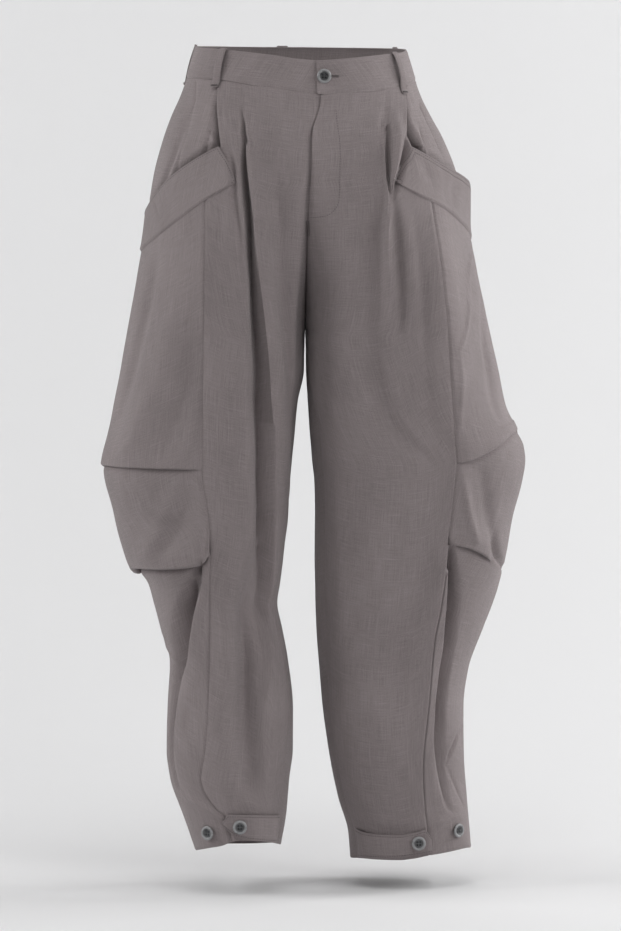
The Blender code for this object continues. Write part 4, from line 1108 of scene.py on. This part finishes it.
def side_panel(leg, finish):
    """From the panel seam round to the side seam, with two knee tucks whose lips face down."""
    tucks = []
    for level, rows in TUCK_LINES[leg.name]:
        tucks.append((level, table(TUCK_LINE_NAMES, rows)))
    rows = [("top", share, 1.0, -1) for share in np.linspace(0, 1, 16)[:-1]]
    level = PANEL_TOP_LEVEL
    plan = [tucks[0][0], tucks[1][0], HEM_LEVEL]
    faded = {}
    for i, stop in enumerate(plan):
        reach = stop + (5.0 if i < 2 else 0.0)
        count = max(2, int((level - reach) / 2.4))
        rows += [("plain", value, 1.0, i) for value in np.linspace(level, reach, count + 1)[:-1]]
        if i < 2:
            over = [("tuck", value, share, i) for value, share in tuck_rows(stop)]
            over += [("under", stop + off, 1.0, i) for off in (5.0, 2.5, 0.4, -1.6, -3.6, -6.0)]
            faded.update({len(rows) + k: stop + off for k, off in enumerate(np.linspace(4, -7.4, len(over)))})
            rows += over
            level = stop - 8.4
    rows.append(("plain", HEM_LEVEL, 1.0, 2))
    lead = leg.guide(RIGHT_DEEP_FOLD if leg.side < 0 else LEFT_DEEP_FOLD)
    follow_from = 540 if leg.side < 0 else 606
    shares = FOLD_SHARE * graded(28, 0.35, 0.3)[:-1]
    shares = np.concatenate([shares, FOLD_SHARE + (1 - FOLD_SHARE) * graded(62, 0.2, 0.4)])
    angles, levels, lifts = [], [], []
    for number, (kind, value, share, place) in enumerate(rows):
        row_level = np.full(shares.shape, PANEL_TOP_LEVEL if kind == "top" else value, float)
        if number in faded:
            open_ = ease(smooth(tucks[place][1]["share"], tucks[place][1]["lip"], shares), 0.4, 2.4)
            row_level = faded[number] + (value - faded[number]) * open_
        if kind == "top":
            for _ in range(3):
                start = leg.seam_angle("panel", row_level[0])
                angle = start + (leg.seam_angle("side", row_level[-1]) - start) * shares
                edge = band_edge(leg, "bottom", angle) + BAND_LAP
                row_level = edge + (PANEL_TOP_LEVEL - edge) * value
        lift = np.zeros(shares.shape)
        for i, (tuck_level, line) in enumerate(tucks):
            above = value - tuck_level if kind != "top" else 200.0
            drop = smooth(line["share"], line["drop"], shares) * bell(above / 38)
            row_level = row_level + drop
            lip = smooth(line["share"], line["lip"], shares)
            if kind == "under" and place == i:
                lift = lift - 0.4 * lip * ease(above, -9, 1)
            elif kind == "tuck" and place == i:
                lift = lift + lip * share
            elif above > 0:
                lift = lift + lip * ease(above, 75, 2)
        start = leg.seam_angle("panel", row_level)
        end = leg.seam_angle("side", row_level)
        first, last = leg.arc(start, row_level), leg.arc(end, row_level)
        run = last - first
        follow = (np.interp(row_level, *lead) - first) / run
        # below the second tuck one column follows the deep fold, and the others share the rest
        led = ease(-row_level, follow_from, follow_from + 35)
        at = FOLD_SHARE + (np.clip(follow, 0.05, 0.5) - FOLD_SHARE) * led
        before = shares / FOLD_SHARE * at
        after = 1 - (1 - shares) / (1 - FOLD_SHARE) * (1 - at)
        arc = first + run * np.where(shares < FOLD_SHARE, before, after)
        angles.append(leg.angle_of(arc, row_level, start - 2, end + 2))
        levels.append(row_level)
        lifts.append(lift)
    angles, levels, lifts = np.array(angles), np.array(levels), np.array(lifts)
    points, _ = leg.cloth(angles, levels, lifts)
    points = rolled(points, leg.side, start=(2.0, 1.2), end=(2.2, 1.3), bottom=(0.9, 1.1))
    return shell("cloth_side_" + leg.name, points, leg.side, CLOTH, finish)


def band_points(leg, shares, across_shares, lift=0.0):
    """Points of the pocket band: shares run down it, across_shares from its front end to its back."""
    angles = leg.band["angle"][0] + (leg.band["angle"][-1] - leg.band["angle"][0]) * across_shares
    angles = np.broadcast_to(angles, (len(shares), len(across_shares)))
    share = shares[:, None]
    top = np.interp(angles, leg.band["angle"], leg.band["top"])
    bottom = np.interp(angles, leg.band["angle"], leg.band["bottom"])
    heights = top + (bottom - top) * share
    stand = np.interp(angles, leg.band["angle"], leg.band["stand"])
    seated = 1.8 + 1.7 * (1 - share)
    out = seated + (stand - 3) * (1 - share) ** 1.2 + lift
    return leg.cloth(angles, heights, out, level_folds(leg, BAND_FOLDS[leg.name]), height=heights)


def pocket_band(leg, finish):
    """A slanted double strip over the hip, sewn along its lower edge and open along its top."""
    return shell("cloth_pocket_band_" + leg.name, band_grid(leg), leg.side, DOUBLE_CLOTH, finish)


def band_grid(leg):
    """The pocket band's points with its edges turned in and dents along its stitches."""
    across = np.unique(np.concatenate([graded(110, 0.25, 0.4), band_kinks(leg)]))
    points, _ = band_points(leg, graded(46, 0.35, 0.35), across)
    insets = BAND_STITCHES[leg.name]
    grooves = [(edge, inset, 0.8) for inset in insets for edge in ("start", "top")]
    return rolled(
        points, leg.side, start=(1.9, 1.1), end=(1.6, 2), top=(1.5, 1.1), bottom=(2.4, 1.5), grooves=grooves
    )


def band_kinks(leg):
    """Shares at which the band's outline turns a corner."""
    tip = leg.band["angle"][np.argmax(leg.band["top"])]
    return np.array([(tip - leg.band["angle"][0]) / (leg.band["angle"][-1] - leg.band["angle"][0])])


# ---- waistband, loops and tabs ----
def ring(turn, height, lift):
    """Points on the waist's oval, by turn round it from the front towards +X."""
    points, normal = LEFT.skin(turn, height)
    return points + normal * np.expand_dims(lift, -1)


def waist_height(name, turn):
    return smooth(WAIST["turn"], WAIST[name], (turn + 180) % 360 - 180)


def band_lift(turns):
    """The waistband's right end lies under its left end, which turns exceed by a full round."""
    lap = ease(turns, 336, 358)
    near_end = 1 - ease(turns, 6, 46)
    return 1.5 + 1.7 * near_end - 1.1 * lap


def waistband(finish):
    """One double strip: its left end lies over its right end at the front."""
    turns = BAND_END_TURN + (BAND_LAP_TURN + 360) * graded(420, 0.25, 0.6)
    rows = []
    for share in 1 - graded(20, 0.3, 0.3):
        bottom = waist_height("seam", turns) - 1.6
        height = bottom + (waist_height("top", turns) - bottom) * share
        bulge = 0.5 * math.sin(math.pi * share)
        points = ring(turns, height, band_lift(turns) + bulge)
        rise = 0.5 * rumple(points * np.array((1.6, 1.6, 1.2)))
        rows.append(ring(turns, height, band_lift(turns) + bulge + rise))
    points = rolled(np.array(rows), 1, start=(0.9, 0.9), end=(0.5, 1), top=(1.0, 1.2), bottom=(1.6, 1.2))
    return shell("cloth_waistband", points, 1, DOUBLE_CLOTH, finish)


def belt_loop(number, turn, bow, finish):
    """A narrow strip that bows out from the waistband between its sewn ends."""
    top = waist_height("top", turn)
    seam = waist_height("seam", turn)
    rows = np.array((
        (top + 1.6, 2.6), (top + 1.2, 3.8), (top - 1.5, 5.4), (top - 6, 7.0), (top - 13, 8.0),
        ((top + seam) / 2, 8.3), (seam + 9, 7.4), (seam + 3, 5.6), (seam - 2, 3.6), (seam - 5, 2.5),
        (seam - 7, 2.1), (seam - 9, 2.2), (seam - 11, 2.4),
    ))
    rows[:, 1] = 2.6 + (rows[:, 1] - 2.6) * np.where(rows[:, 1] > 2.6, bow, 1)
    dense = curved(np.column_stack([rows, np.zeros((len(rows), 1)), np.ones((len(rows), 1))]))[:, :2]
    across = 2 * graded(10, 0.4, 0.4) - 1
    turns = turn + LOOP_HALF_TURN * across
    crown = 0.5 * (1 - across**2)
    pinch = 1 - 0.1 * bell((dense[:, 0] - (seam - 9)) / 3)
    points = np.array([
        ring(turn + (turns - turn) * narrow, np.full(turns.shape, height), lift + crown)
        for (height, lift), narrow in zip(dense, pinch)
    ])
    points = rolled(points, 1, start=(0.7, 0.8), end=(0.7, 0.8), bottom=(0.6, 0.8))
    return shell(f"cloth_belt_loop_{number}", points, 1, 1.2, finish)


def tab_points(leg, rows, shares, across_shares, lift=0.0):
    """Points of a hem tab, from its sewn end to its pointed one."""
    rows = table(TAB_NAMES, rows)
    ends = leg.angle_at(rows["across"], (rows["top"] + rows["bottom"]) / 2)
    angles = ends[0] + (ends[-1] - ends[0]) * across_shares
    angles = np.broadcast_to(angles, (len(shares), len(across_shares)))
    top = np.interp(angles, ends, rows["top"])
    bottom = np.interp(angles, ends, rows["bottom"])
    heights = top + (bottom - top) * shares[:, None]
    sewn = 1 - ease(across_shares, 0, 0.09)
    out = 4.2 - 2.0 * sewn + 0.6 * np.sin(math.pi * across_shares) + lift
    return leg.cloth(angles, heights, np.broadcast_to(out, angles.shape), height=heights)


def hem_tab(leg, rows, finish):
    """A double strip from the inseam across the front of the hem, with a pointed end."""
    points = tab_grid(leg, rows)
    return shell("cloth_tab_" + leg.name, points, leg.side, DOUBLE_CLOTH, finish)


def tab_grid(leg, rows):
    """The hem tab's points with its edges turned in and dents along its stitches."""
    points, _ = tab_points(leg, rows, graded(26, 0.35, 0.35), graded(80, 0.4, 0.3))
    return rolled(
        points, leg.side, start=(0.6, 1), end=(1.2, 0.9), top=(1.2, 0.9), bottom=(1.2, 0.9),
        grooves=(("top", TAB_STITCH_INSET, 0.7), ("bottom", TAB_STITCH_INSET, 0.7)),
    )


# ---- stitches ----
STITCH = 2.3
STITCH_STEP = 3.1
STITCH_THICK = 0.6
TAB_STITCH_INSET = 2.6
# distances of the pocket bands' stitch lines from the edges
BAND_STITCHES = {"right": (3.2,), "left": (3.2, 8.5)}
# lines as seen, by across and height
FLY_STITCH = (
    (50.3, -39), (49.8, -73.6), (49.1, -119.5), (47.9, -161.7), (42.9, -174.1), (34.2, -181.5),
    (23, -184), (11.8, -184.3),
)
BARTACKS = (
    ((7.5, -189), (8, -197.7), (8.5, -207.6)),
    ((10.5, -189), (11, -197.7), (11.5, -207.6)),
)


def resampled(points, normals, step):
    """The middles, directions and normals of stitches along a line."""
    run = np.concatenate([[0], np.cumsum(np.linalg.norm(np.diff(points, axis=0), axis=1))])
    count = max(1, int(run[-1] / step))
    at = (np.arange(count) + 0.5) * run[-1] / count
    middle = np.stack([np.interp(at, run, points[:, i]) for i in range(3)], -1)
    before = np.stack([np.interp(at - 0.5, run, points[:, i]) for i in range(3)], -1)
    after = np.stack([np.interp(at + 0.5, run, points[:, i]) for i in range(3)], -1)
    normal = np.stack([np.interp(at, run, normals[:, i]) for i in range(3)], -1)
    return middle, unit(after - before), unit(normal)


def thread_mesh(name, lines, finish, step=STITCH_STEP, size=STITCH, thick=STITCH_THICK):
    """Stitches along lines of (points, normals), as one mesh of small spindles."""
    vertices, faces = [], []
    for points, normals in lines:
        for middle, along, normal in zip(*resampled(points, normals, step)):
            across = np.cross(along, normal)
            first = len(vertices)
            vertices.append(middle - along * size / 2 - normal * thick * 0.3)
            for place, wide in ((-0.3, 0.8), (0.3, 0.8)):
                for turn in range(6):
                    a = math.pi * turn / 3
                    round_ = across * math.cos(a) + normal * math.sin(a) * 0.8
                    vertices.append(middle + along * size * place + round_ * thick * wide / 2 + normal * 0.1)
            vertices.append(middle + along * size / 2 - normal * thick * 0.3)
            for turn in range(6):
                after = (turn + 1) % 6
                faces.append((first, first + 1 + after, first + 1 + turn))
                faces.append((first + 1 + turn, first + 1 + after, first + 7 + after, first + 7 + turn))
                faces.append((first + 13, first + 7 + turn, first + 7 + after))
    mesh = bpy.data.meshes.new(name)
    mesh.from_pydata((np.array(vertices) * MM).tolist(), [], faces)
    mesh.shade_smooth()
    return riding(name, mesh, finish)


def inset_line(points, side, edge, inset, raise_by=0.15):
    """A line that keeps a distance from one edge of a grid."""
    normals = grid_normals(points, side)
    order = {"top": (points, normals), "bottom": (points[::-1], normals[::-1])}
    order["start"] = (points.transpose(1, 0, 2), normals.transpose(1, 0, 2))
    order["end"] = (order["start"][0][::-1], order["start"][1][::-1])
    grid, grid_out = order[edge]
    run = run_along(grid, 0)
    line, out = [], []
    for column in range(grid.shape[1]):
        place = [np.interp(inset, run[:, column], grid[:, column, i]) for i in range(3)]
        facing = [np.interp(inset, run[:, column], grid_out[:, column, i]) for i in range(3)]
        line.append(place)
        out.append(facing)
    line, out = np.array(line), unit(np.array(out))
    return line + out * raise_by, out


def line_on_leg(leg, rows, lift, own=()):
    """A seen line of (across, height) laid on the leg's cloth."""
    rows = np.array(rows, float)
    dense = curved(np.column_stack([rows, np.zeros(len(rows)), np.ones(len(rows))]))[:, :2]
    angle, height = leg.seen(dense[:, 0], dense[:, 1])
    return leg.cloth(angle, height, lift, own, height=height)


# ---- buttons ----
BUTTON_PROFILE = (
    (0.0, 1.25), (0.30, 1.25), (0.50, 1.3), (0.575, 1.45), (0.62, 1.9), (0.66, 2.5), (0.71, 2.85),
    (0.77, 3.0), (0.86, 2.98), (0.92, 2.8), (0.97, 2.4), (1.0, 1.9), (1.0, 1.5), (0.95, 0.9),
        (0.85, 0.55), (0.0, 0.5),
)
BUTTON_SIDES = 48
HOLE_PLACE = 0.2


def frame_at(outward):
    """Directions across and up on a face that looks outward."""
    outward = unit(np.asarray(outward, float))
    across = unit(np.cross((0, 0, 1), outward))
    return across, np.cross(outward, across), outward


def button(name, centre, outward, width, finish, hole_shade_finish, thread_finish):
    """A turned button with a raised rim, a sunk middle, four holes shown as dark discs of painted shade, and
    crossed thread.
    """
    across, up, outward = frame_at(outward)
    vertices = [centre + outward * BUTTON_PROFILE[0][1]]
    for share, rise in BUTTON_PROFILE[1:-1]:
        for k in range(BUTTON_SIDES):
            a = 2 * math.pi * k / BUTTON_SIDES
            round_ = across * math.cos(a) + up * math.sin(a)
            vertices.append(centre + round_ * share * width / 2 + outward * rise)
    vertices.append(centre + outward * BUTTON_PROFILE[-1][1])
    faces = []
    rings = len(BUTTON_PROFILE) - 2
    last = len(vertices) - 1
    for k in range(BUTTON_SIDES):
        after = (k + 1) % BUTTON_SIDES
        faces.append((0, 1 + k, 1 + after))
        for r in range(rings - 1):
            upper = 1 + r * BUTTON_SIDES
            lower = upper + BUTTON_SIDES
            faces.append((upper + k, lower + k, lower + after, upper + after))
        bottom = 1 + (rings - 1) * BUTTON_SIDES
        faces.append((last, bottom + after, bottom + k))
    body = button_mesh(name, vertices, faces, finish)
    shares = [0.0] + [share for share, _ in BUTTON_PROFILE[1:-1] for _ in range(BUTTON_SIDES)] + [1.0]
    # the rim share steers the painted highlight on the raised rim in the resin's colour
    rim = body.data.attributes.new("rim", "FLOAT", "POINT")
    rim.data.foreach_set("value", ease(shares, 0.56, 0.74).astype(np.float32))
    vertices, faces = [], []
    holes = []
    for x, y in ((-1, -1), (-1, 1), (1, -1), (1, 1)):
        place = centre + (across * x + up * y) * HOLE_PLACE * width / 2 + outward * 1.29
        holes.append(place)
        # each hole is a flat dark disc just over the face: painted shade where a hole would be
        add_disc(vertices, faces, place, across, up, 0.075 * width)
    button_mesh(name + "_holes", vertices, faces, hole_shade_finish)
    vertices, faces = [], []
    for start, end in ((0, 3), (1, 2), (0, 1), (2, 3)):
        for shift in (-0.28, 0.28):
            side = unit(np.cross(holes[end] - holes[start], outward)) * shift
            lift = 0.45 if (start, end) in ((0, 3), (1, 2)) else 0.2
            arch = [holes[start] + side, (holes[start] + holes[end]) / 2 + side + outward * lift * 2]
            arch.append(holes[end] + side)
            add_tube(vertices, faces, arch, outward, 0.26)
    button_mesh(name + "_thread", vertices, faces, thread_finish)
    return body


def add_disc(vertices, faces, centre, across, up, radius):
    first = len(vertices)
    vertices.append(centre)
    for k in range(16):
        a = 2 * math.pi * k / 16
        vertices.append(centre + (across * math.cos(a) + up * math.sin(a)) * radius)
    for k in range(16):
        faces.append((first, first + 1 + k, first + 1 + (k + 1) % 16))


def add_tube(vertices, faces, path, outward, radius):
    """A thin round thread on a curve through a path's points."""
    path = np.asarray(path, float)
    dense = curved(np.column_stack([path, np.ones(len(path))]))[:, :3] if len(path) > 2 else path
    first = len(vertices)
    along = unit(np.gradient(dense, axis=0))
    for point, direction in zip(dense, along):
        side = unit(np.cross(direction, outward))
        top = np.cross(side, direction)
        for k in range(6):
            a = math.pi * k / 3
            vertices.append(point + (side * math.cos(a) + top * math.sin(a)) * radius)
    for r in range(len(dense) - 1):
        for k in range(6):
            after = (k + 1) % 6
            low, high = first + r * 6, first + r * 6 + 6
            faces.append((low + k, low + after, high + after, high + k))


def button_mesh(name, vertices, faces, finish):
    mesh = bpy.data.meshes.new(name)
    mesh.from_pydata((np.array(vertices) * MM).tolist(), [], faces)
    mesh.shade_smooth()
    mesh.set_sharp_from_angle(angle=math.radians(50))
    return riding(name, mesh, finish)


def hem_button(leg, number, across, height, lift, finishes):
    angle = np.array(leg.angle_at(across, height)).reshape(1)
    points, normal = leg.cloth(angle, np.array([float(height)]), lift + 0.6, height=np.array([float(height)]))
    name = f"button_hem_{leg.name}_{number}_turned"
    return button(name, points[0], normal[0], BUTTON_WIDTH, *finishes)


# ---- materials ----
CLOTH_DARK = (0.158, 0.134, 0.135)
CLOTH_LIGHT = (0.345, 0.298, 0.299)


class Nodes:
    """A short way to write a material's nodes."""

    def __init__(self, name):
        self.made = bpy.data.materials.new(name)
        self.made.use_nodes = True
        self.tree = self.made.node_tree
        self.shader = self.tree.nodes["Principled BSDF"]

    def add(self, kind, **settings):
        node = self.tree.nodes.new(kind)
        for key, value in settings.items():
            if key in node.inputs:
                node.inputs[key].default_value = value
            else:
                setattr(node, key, value)
        return node

    def link(self, output, target):
        self.tree.links.new(output, target)

    def place(self, scale):
        """Coordinates on the flat cloth, stretched by a scale for each axis."""
        source = self.add("ShaderNodeAttribute", attribute_name="cloth_place")
        mapping = self.add("ShaderNodeMapping")
        mapping.inputs["Scale"].default_value = scale
        self.link(source.outputs["Vector"], mapping.inputs["Vector"])
        return mapping.outputs["Vector"]

    def noise(self, scale, detail=2.0, roughness=0.5):
        node = self.add("ShaderNodeTexNoise")
        node.inputs["Scale"].default_value = 1.0
        node.inputs["Detail"].default_value = detail
        node.inputs["Roughness"].default_value = roughness
        self.link(self.place(scale), node.inputs["Vector"])
        return node.outputs["Fac"]

    def math(self, operation, first, second):
        node = self.add("ShaderNodeMath", operation=operation)
        for socket, value in zip(node.inputs, (first, second)):
            if isinstance(value, (int, float)):
                socket.default_value = value
            else:
                self.link(value, socket)
        return node.outputs[0]

    def cloud(self, scale, detail=2.0):
        """Noise fixed to the object."""
        node = self.add("ShaderNodeTexNoise")
        node.inputs["Scale"].default_value = scale
        node.inputs["Detail"].default_value = detail
        self.link(self.add("ShaderNodeTexCoord").outputs["Object"], node.inputs["Vector"])
        return node.outputs["Fac"]

    def colour(self, share, low, high):
        """The shader's colour, between two by a share."""
        mix = self.add("ShaderNodeMix", data_type="RGBA")
        self.link(share, mix.inputs["Factor"])
        ends = [socket for socket in mix.inputs if socket.type == "RGBA"]
        ends[0].default_value, ends[1].default_value = (*low, 1), (*high, 1)
        result = next(socket for socket in mix.outputs if socket.type == "RGBA")
        self.link(result, self.shader.inputs["Base Color"])

    def spread(self, value, low, high, to_low, to_high):
        node = self.add("ShaderNodeMapRange")
        self.link(value, node.inputs["Value"])
        for key, number in (("From Min", low), ("From Max", high), ("To Min", to_low), ("To Max", to_high)):
            node.inputs[key].default_value = number
        return node.outputs["Result"]


def cloth_finish(name, dark, light):
    """Plain-woven linen look: uneven threads both ways, slubs, and slight shading of the dye."""
    n = Nodes(name)
    weft = n.noise((0.045, 1.35, 1), 3.0, 0.6)
    warp = n.noise((1.35, 0.03, 1), 3.0, 0.6)
    slub_weft = n.noise((0.02, 0.62, 1), 1.0)
    slub_warp = n.noise((0.55, 0.012, 1), 1.0)
    thread_weft = n.noise((0.5, 5.0, 1), 1.0)
    thread_warp = n.noise((5.0, 0.5, 1), 1.0)
    dye = n.noise((0.011, 0.006, 1), 3.0)
    threads = n.math("ADD", n.spread(weft, 0.3, 0.7, -0.5, 0.5), n.spread(warp, 0.3, 0.7, -0.55, 0.55))
    slubs = n.math("ADD", n.spread(slub_weft, 0.6, 0.78, 0, 0.6), n.spread(slub_warp, 0.6, 0.78, 0, 0.5))
    fine_weft, fine_warp = (n.spread(thread, 0.3, 0.7, -0.4, 0.4) for thread in (thread_weft, thread_warp))
    fine = n.math("ADD", fine_weft, fine_warp)
    pattern = n.math("ADD", n.math("ADD", threads, slubs), fine)
    shade = n.math("MULTIPLY", pattern, 0.3)
    shade = n.math("ADD", shade, n.spread(dye, 0.3, 0.7, 0.36, 0.64))
    n.colour(shade, dark, light)
    n.link(n.spread(pattern, -1, 1, 0.93, 0.82), n.shader.inputs["Roughness"])
    n.shader.inputs["Specular IOR Level"].default_value = 0.25
    n.shader.inputs["Sheen Weight"].default_value = 0.12
    n.shader.inputs["Sheen Roughness"].default_value = 0.5
    bump = n.add("ShaderNodeBump")
    bump.inputs["Strength"].default_value = 0.55
    bump.inputs["Distance"].default_value = 0.0003
    n.link(pattern, bump.inputs["Height"])
    n.link(bump.outputs["Normal"], n.shader.inputs["Normal"])
    return n.made


def thread_finish(name, colour):
    n = Nodes(name)
    n.colour(n.cloud(2600.0), [c * 0.8 for c in colour], [c * 1.25 for c in colour])
    n.shader.inputs["Roughness"].default_value = 0.75
    return n.made


def button_finish():
    """Smoky horn-like resin, mottled, with a painted highlight: the colour grows lighter towards the raised
    rim, standing in for the light the rim catches.
    """
    n = Nodes("button_resin")
    cloud = n.cloud(160.0, 4.0)
    rim = n.add("ShaderNodeAttribute", attribute_name="rim")
    mottle = n.spread(cloud, 0.3, 0.7, 0, 0.3)
    # random mottle plus a painted highlight that lightens the colour towards the rim
    mottle_and_painted_rim_highlight = n.math("ADD", n.math("MULTIPLY", rim.outputs["Fac"], 0.7), mottle)
    ramp = n.add("ShaderNodeValToRGB")
    n.link(mottle_and_painted_rim_highlight, ramp.inputs["Fac"])
    ramp.color_ramp.elements[0].position = 0.0
    ramp.color_ramp.elements[0].color = (0.036, 0.038, 0.041, 1)
    ramp.color_ramp.elements[1].position = 1.0
    ramp.color_ramp.elements[1].color = (0.30, 0.30, 0.305, 1)
    n.link(ramp.outputs["Color"], n.shader.inputs["Base Color"])
    n.link(n.spread(cloud, 0.3, 0.7, 0.24, 0.36), n.shader.inputs["Roughness"])
    n.shader.inputs["Coat Weight"].default_value = 0.3
    return n.made


def stage_finish(name, colour):
    n = Nodes(name)
    n.colour(n.cloud(1.4), [c * 0.99 for c in colour], colour)
    n.shader.inputs["Roughness"].default_value = 1.0
    n.shader.inputs["Specular IOR Level"].default_value = 0.0
    # the wall's far side is clear, so that the back of the trousers shows past it
    sides = n.add("ShaderNodeMixShader")
    n.link(n.add("ShaderNodeNewGeometry").outputs["Backfacing"], sides.inputs[0])
    n.link(n.shader.outputs["BSDF"], sides.inputs[1])
    n.link(n.add("ShaderNodeBsdfTransparent").outputs["BSDF"], sides.inputs[2])
    out = next(node for node in n.tree.nodes if node.type == "OUTPUT_MATERIAL")
    n.link(sides.outputs["Shader"], out.inputs["Surface"])
    return n.made


# ---- stage, lights and camera ----
FLOOR_LEVEL = -1025.0
LIGHT_AIM = (0.0, 0.0, -0.5)
# name, place in metres, size in metres, watts
WORLD_LIGHT = 0.0
LIGHTS = (
    ("side_left", (-3.2, -0.5, 0.9), (1.6, 2.0), 66.0),
    ("side_right", (3.0, 0.6, 0.9), (1.4, 2.0), 62.0),
    ("front_right", (2.4, -2.8, 1.2), (1.6, 1.6), 20.0),
    ("key_right", (3.0, -1.5, 1.0), (1.4, 1.8), 34.0),
    ("front_left", (-2.4, -2.8, 1.2), (1.6, 1.6), 10.0),
    ("top", (0.0, -2.0, 3.0), (2.6, 1.6), 44.0),
)


def backdrop(finish):
    """One sheet that is the floor in front and curves up into a wall behind."""
    radius = 900.0
    profile = [(-5200.0, FLOOR_LEVEL), (900.0, FLOOR_LEVEL)]
    for k in range(1, 13):
        a = math.pi / 2 * k / 12
        profile.append((900.0 + radius * math.sin(a), FLOOR_LEVEL + radius * (1 - math.cos(a))))
    profile.append((900.0 + radius, 3600.0))
    vertices = [(x, y, z) for y, z in profile for x in (-5200.0, 5200.0)]
    faces = [(2 * i, 2 * i + 1, 2 * i + 3, 2 * i + 2) for i in range(len(profile) - 1)]
    mesh = bpy.data.meshes.new("backdrop")
    mesh.from_pydata([(x * MM, y * MM, z * MM) for x, y, z in vertices], [], faces)
    mesh.shade_smooth()
    placed("backdrop", mesh, finish)


def area_light(name, place, size, power):
    lamp = bpy.data.lights.new(name, "AREA")
    lamp.shape = "RECTANGLE"
    lamp.size, lamp.size_y = size
    lamp.energy = power
    made = bpy.data.objects.new(name, lamp)
    made.location = place
    made.rotation_euler = (Vector(LIGHT_AIM) - Vector(place)).to_track_quat("-Z", "Y").to_euler()
    bpy.context.scene.collection.objects.link(made)


def light_and_camera():
    world = bpy.data.worlds.new("studio")
    world.use_nodes = True
    world.node_tree.nodes["Background"].inputs["Color"].default_value = (1.0, 1.0, 1.0, 1)
    world.node_tree.nodes["Background"].inputs["Strength"].default_value = WORLD_LIGHT
    bpy.context.scene.world = world
    for light in LIGHTS:
        area_light(*light)
    lens = bpy.data.cameras.new("camera")
    lens.sensor_width = 36.0
    lens.lens = LENS
    lens.clip_end = 100.0
    camera = bpy.data.objects.new("camera", lens)
    camera.location = [c * MM for c in CAMERA]
    aim = Vector([c * MM for c in AIM])
    camera.rotation_euler = (aim - camera.location).to_track_quat("-Z", "Y").to_euler()
    bpy.context.scene.collection.objects.link(camera)
    bpy.context.scene.camera = camera
    bpy.context.scene.view_settings.view_transform = "Standard"


def build():
    cloth = cloth_finish("cloth_linen", CLOTH_DARK, CLOTH_LIGHT)
    thread = thread_finish("cloth_thread", (0.05, 0.043, 0.043))
    button_thread = thread_finish("button_thread", (0.06, 0.062, 0.07))
    resin = button_finish()
    # near-black for the button holes' discs: painted shade
    hole_shade = thread_finish("button_hole_dark", (0.012, 0.012, 0.014))
    finishes = (resin, hole_shade, button_thread)
    made = {}
    for leg in (RIGHT, LEFT):
        made["front_" + leg.name] = front_panel(leg, cloth)
        made["back_" + leg.name] = back_panel(leg, cloth)
        made["hip_" + leg.name] = hip_piece(leg, cloth)
        made["side_" + leg.name] = side_panel(leg, cloth)
        made["pocket_band_" + leg.name] = pocket_band(leg, cloth)
    made["waistband"] = waistband(cloth)
    for number, (turn, bow) in enumerate(zip(LOOP_TURNS, LOOP_BOWS), start=1):
        made[f"belt_loop_{number}"] = belt_loop(number, turn, bow, cloth)
    for leg, rows, buttons in ((RIGHT, RIGHT_TAB, RIGHT_BUTTONS), (LEFT, LEFT_TAB, LEFT_BUTTONS)):
        made["tab_" + leg.name] = hem_tab(leg, rows, cloth)
        for number, (across, height, lift) in enumerate(buttons, start=1):
            made[f"button_hem_{leg.name}_{number}"] = hem_button(leg, number, across, height, lift, finishes)
    turn, height = np.float64(WAIST_BUTTON_TURN), np.float64(WAIST_BUTTON_HEIGHT)
    centre = ring(turn, height, 3.6)
    _, outward = LEFT.skin(turn, height)
    made["button_waist"] = button("button_waist_turned", centre, outward, BUTTON_WIDTH, *finishes)
    sew(thread)
    for node, piece in made.items():
        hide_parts(node)
    backdrop(stage_finish("backdrop_paper", (0.80, 0.80, 0.805)))
    light_and_camera()


def sew(thread):
    """All stitching that shows."""
    lines = []
    for leg in (RIGHT, LEFT):
        band = band_grid(leg)
        for inset in BAND_STITCHES[leg.name]:
            lines.append(inset_line(band, leg.side, "start", inset))
            lines.append(inset_line(band, leg.side, "top", inset))
    thread_mesh("stitches_pocket_bands", lines, thread)
    lines = []
    for leg, rows in ((RIGHT, RIGHT_TAB), (LEFT, LEFT_TAB)):
        tab = tab_grid(leg, rows)
        for edge in ("top", "bottom"):
            lines.append(inset_line(tab, leg.side, edge, TAB_STITCH_INSET))
    thread_mesh("stitches_tabs", lines, thread)
    fly = line_on_leg(LEFT, FLY_STITCH, 0.1, level_folds(LEFT, LEFT_FRONT_FOLDS))
    thread_mesh("stitches_fly", [fly], thread)
    tacks = [line_on_leg(LEFT, rows, 0.5) for rows in BARTACKS]
    for turn in LOOP_TURNS:
        turns = turn + LOOP_HALF_TURN * np.linspace(-0.85, 0.85, 8)
        seam = waist_height("seam", turn)
        for down in (8.4, 9.4):
            height = np.full(8, seam - down)
            tacks.append((ring(turns, height, 3.2), LEFT.skin(turns, height)[1]))
    turns = np.linspace(*BUTTONHOLE_TURNS, 8)
    for shift in (-0.8, 0.8):
        height = np.full(8, WAIST_BUTTON_HEIGHT + shift)
        tacks.append((ring(turns, height, 3.9), LEFT.skin(turns, height)[1]))
    thread_mesh("stitches_bartacks", tacks, thread, step=1.0, size=1.5, thick=0.8)


build()
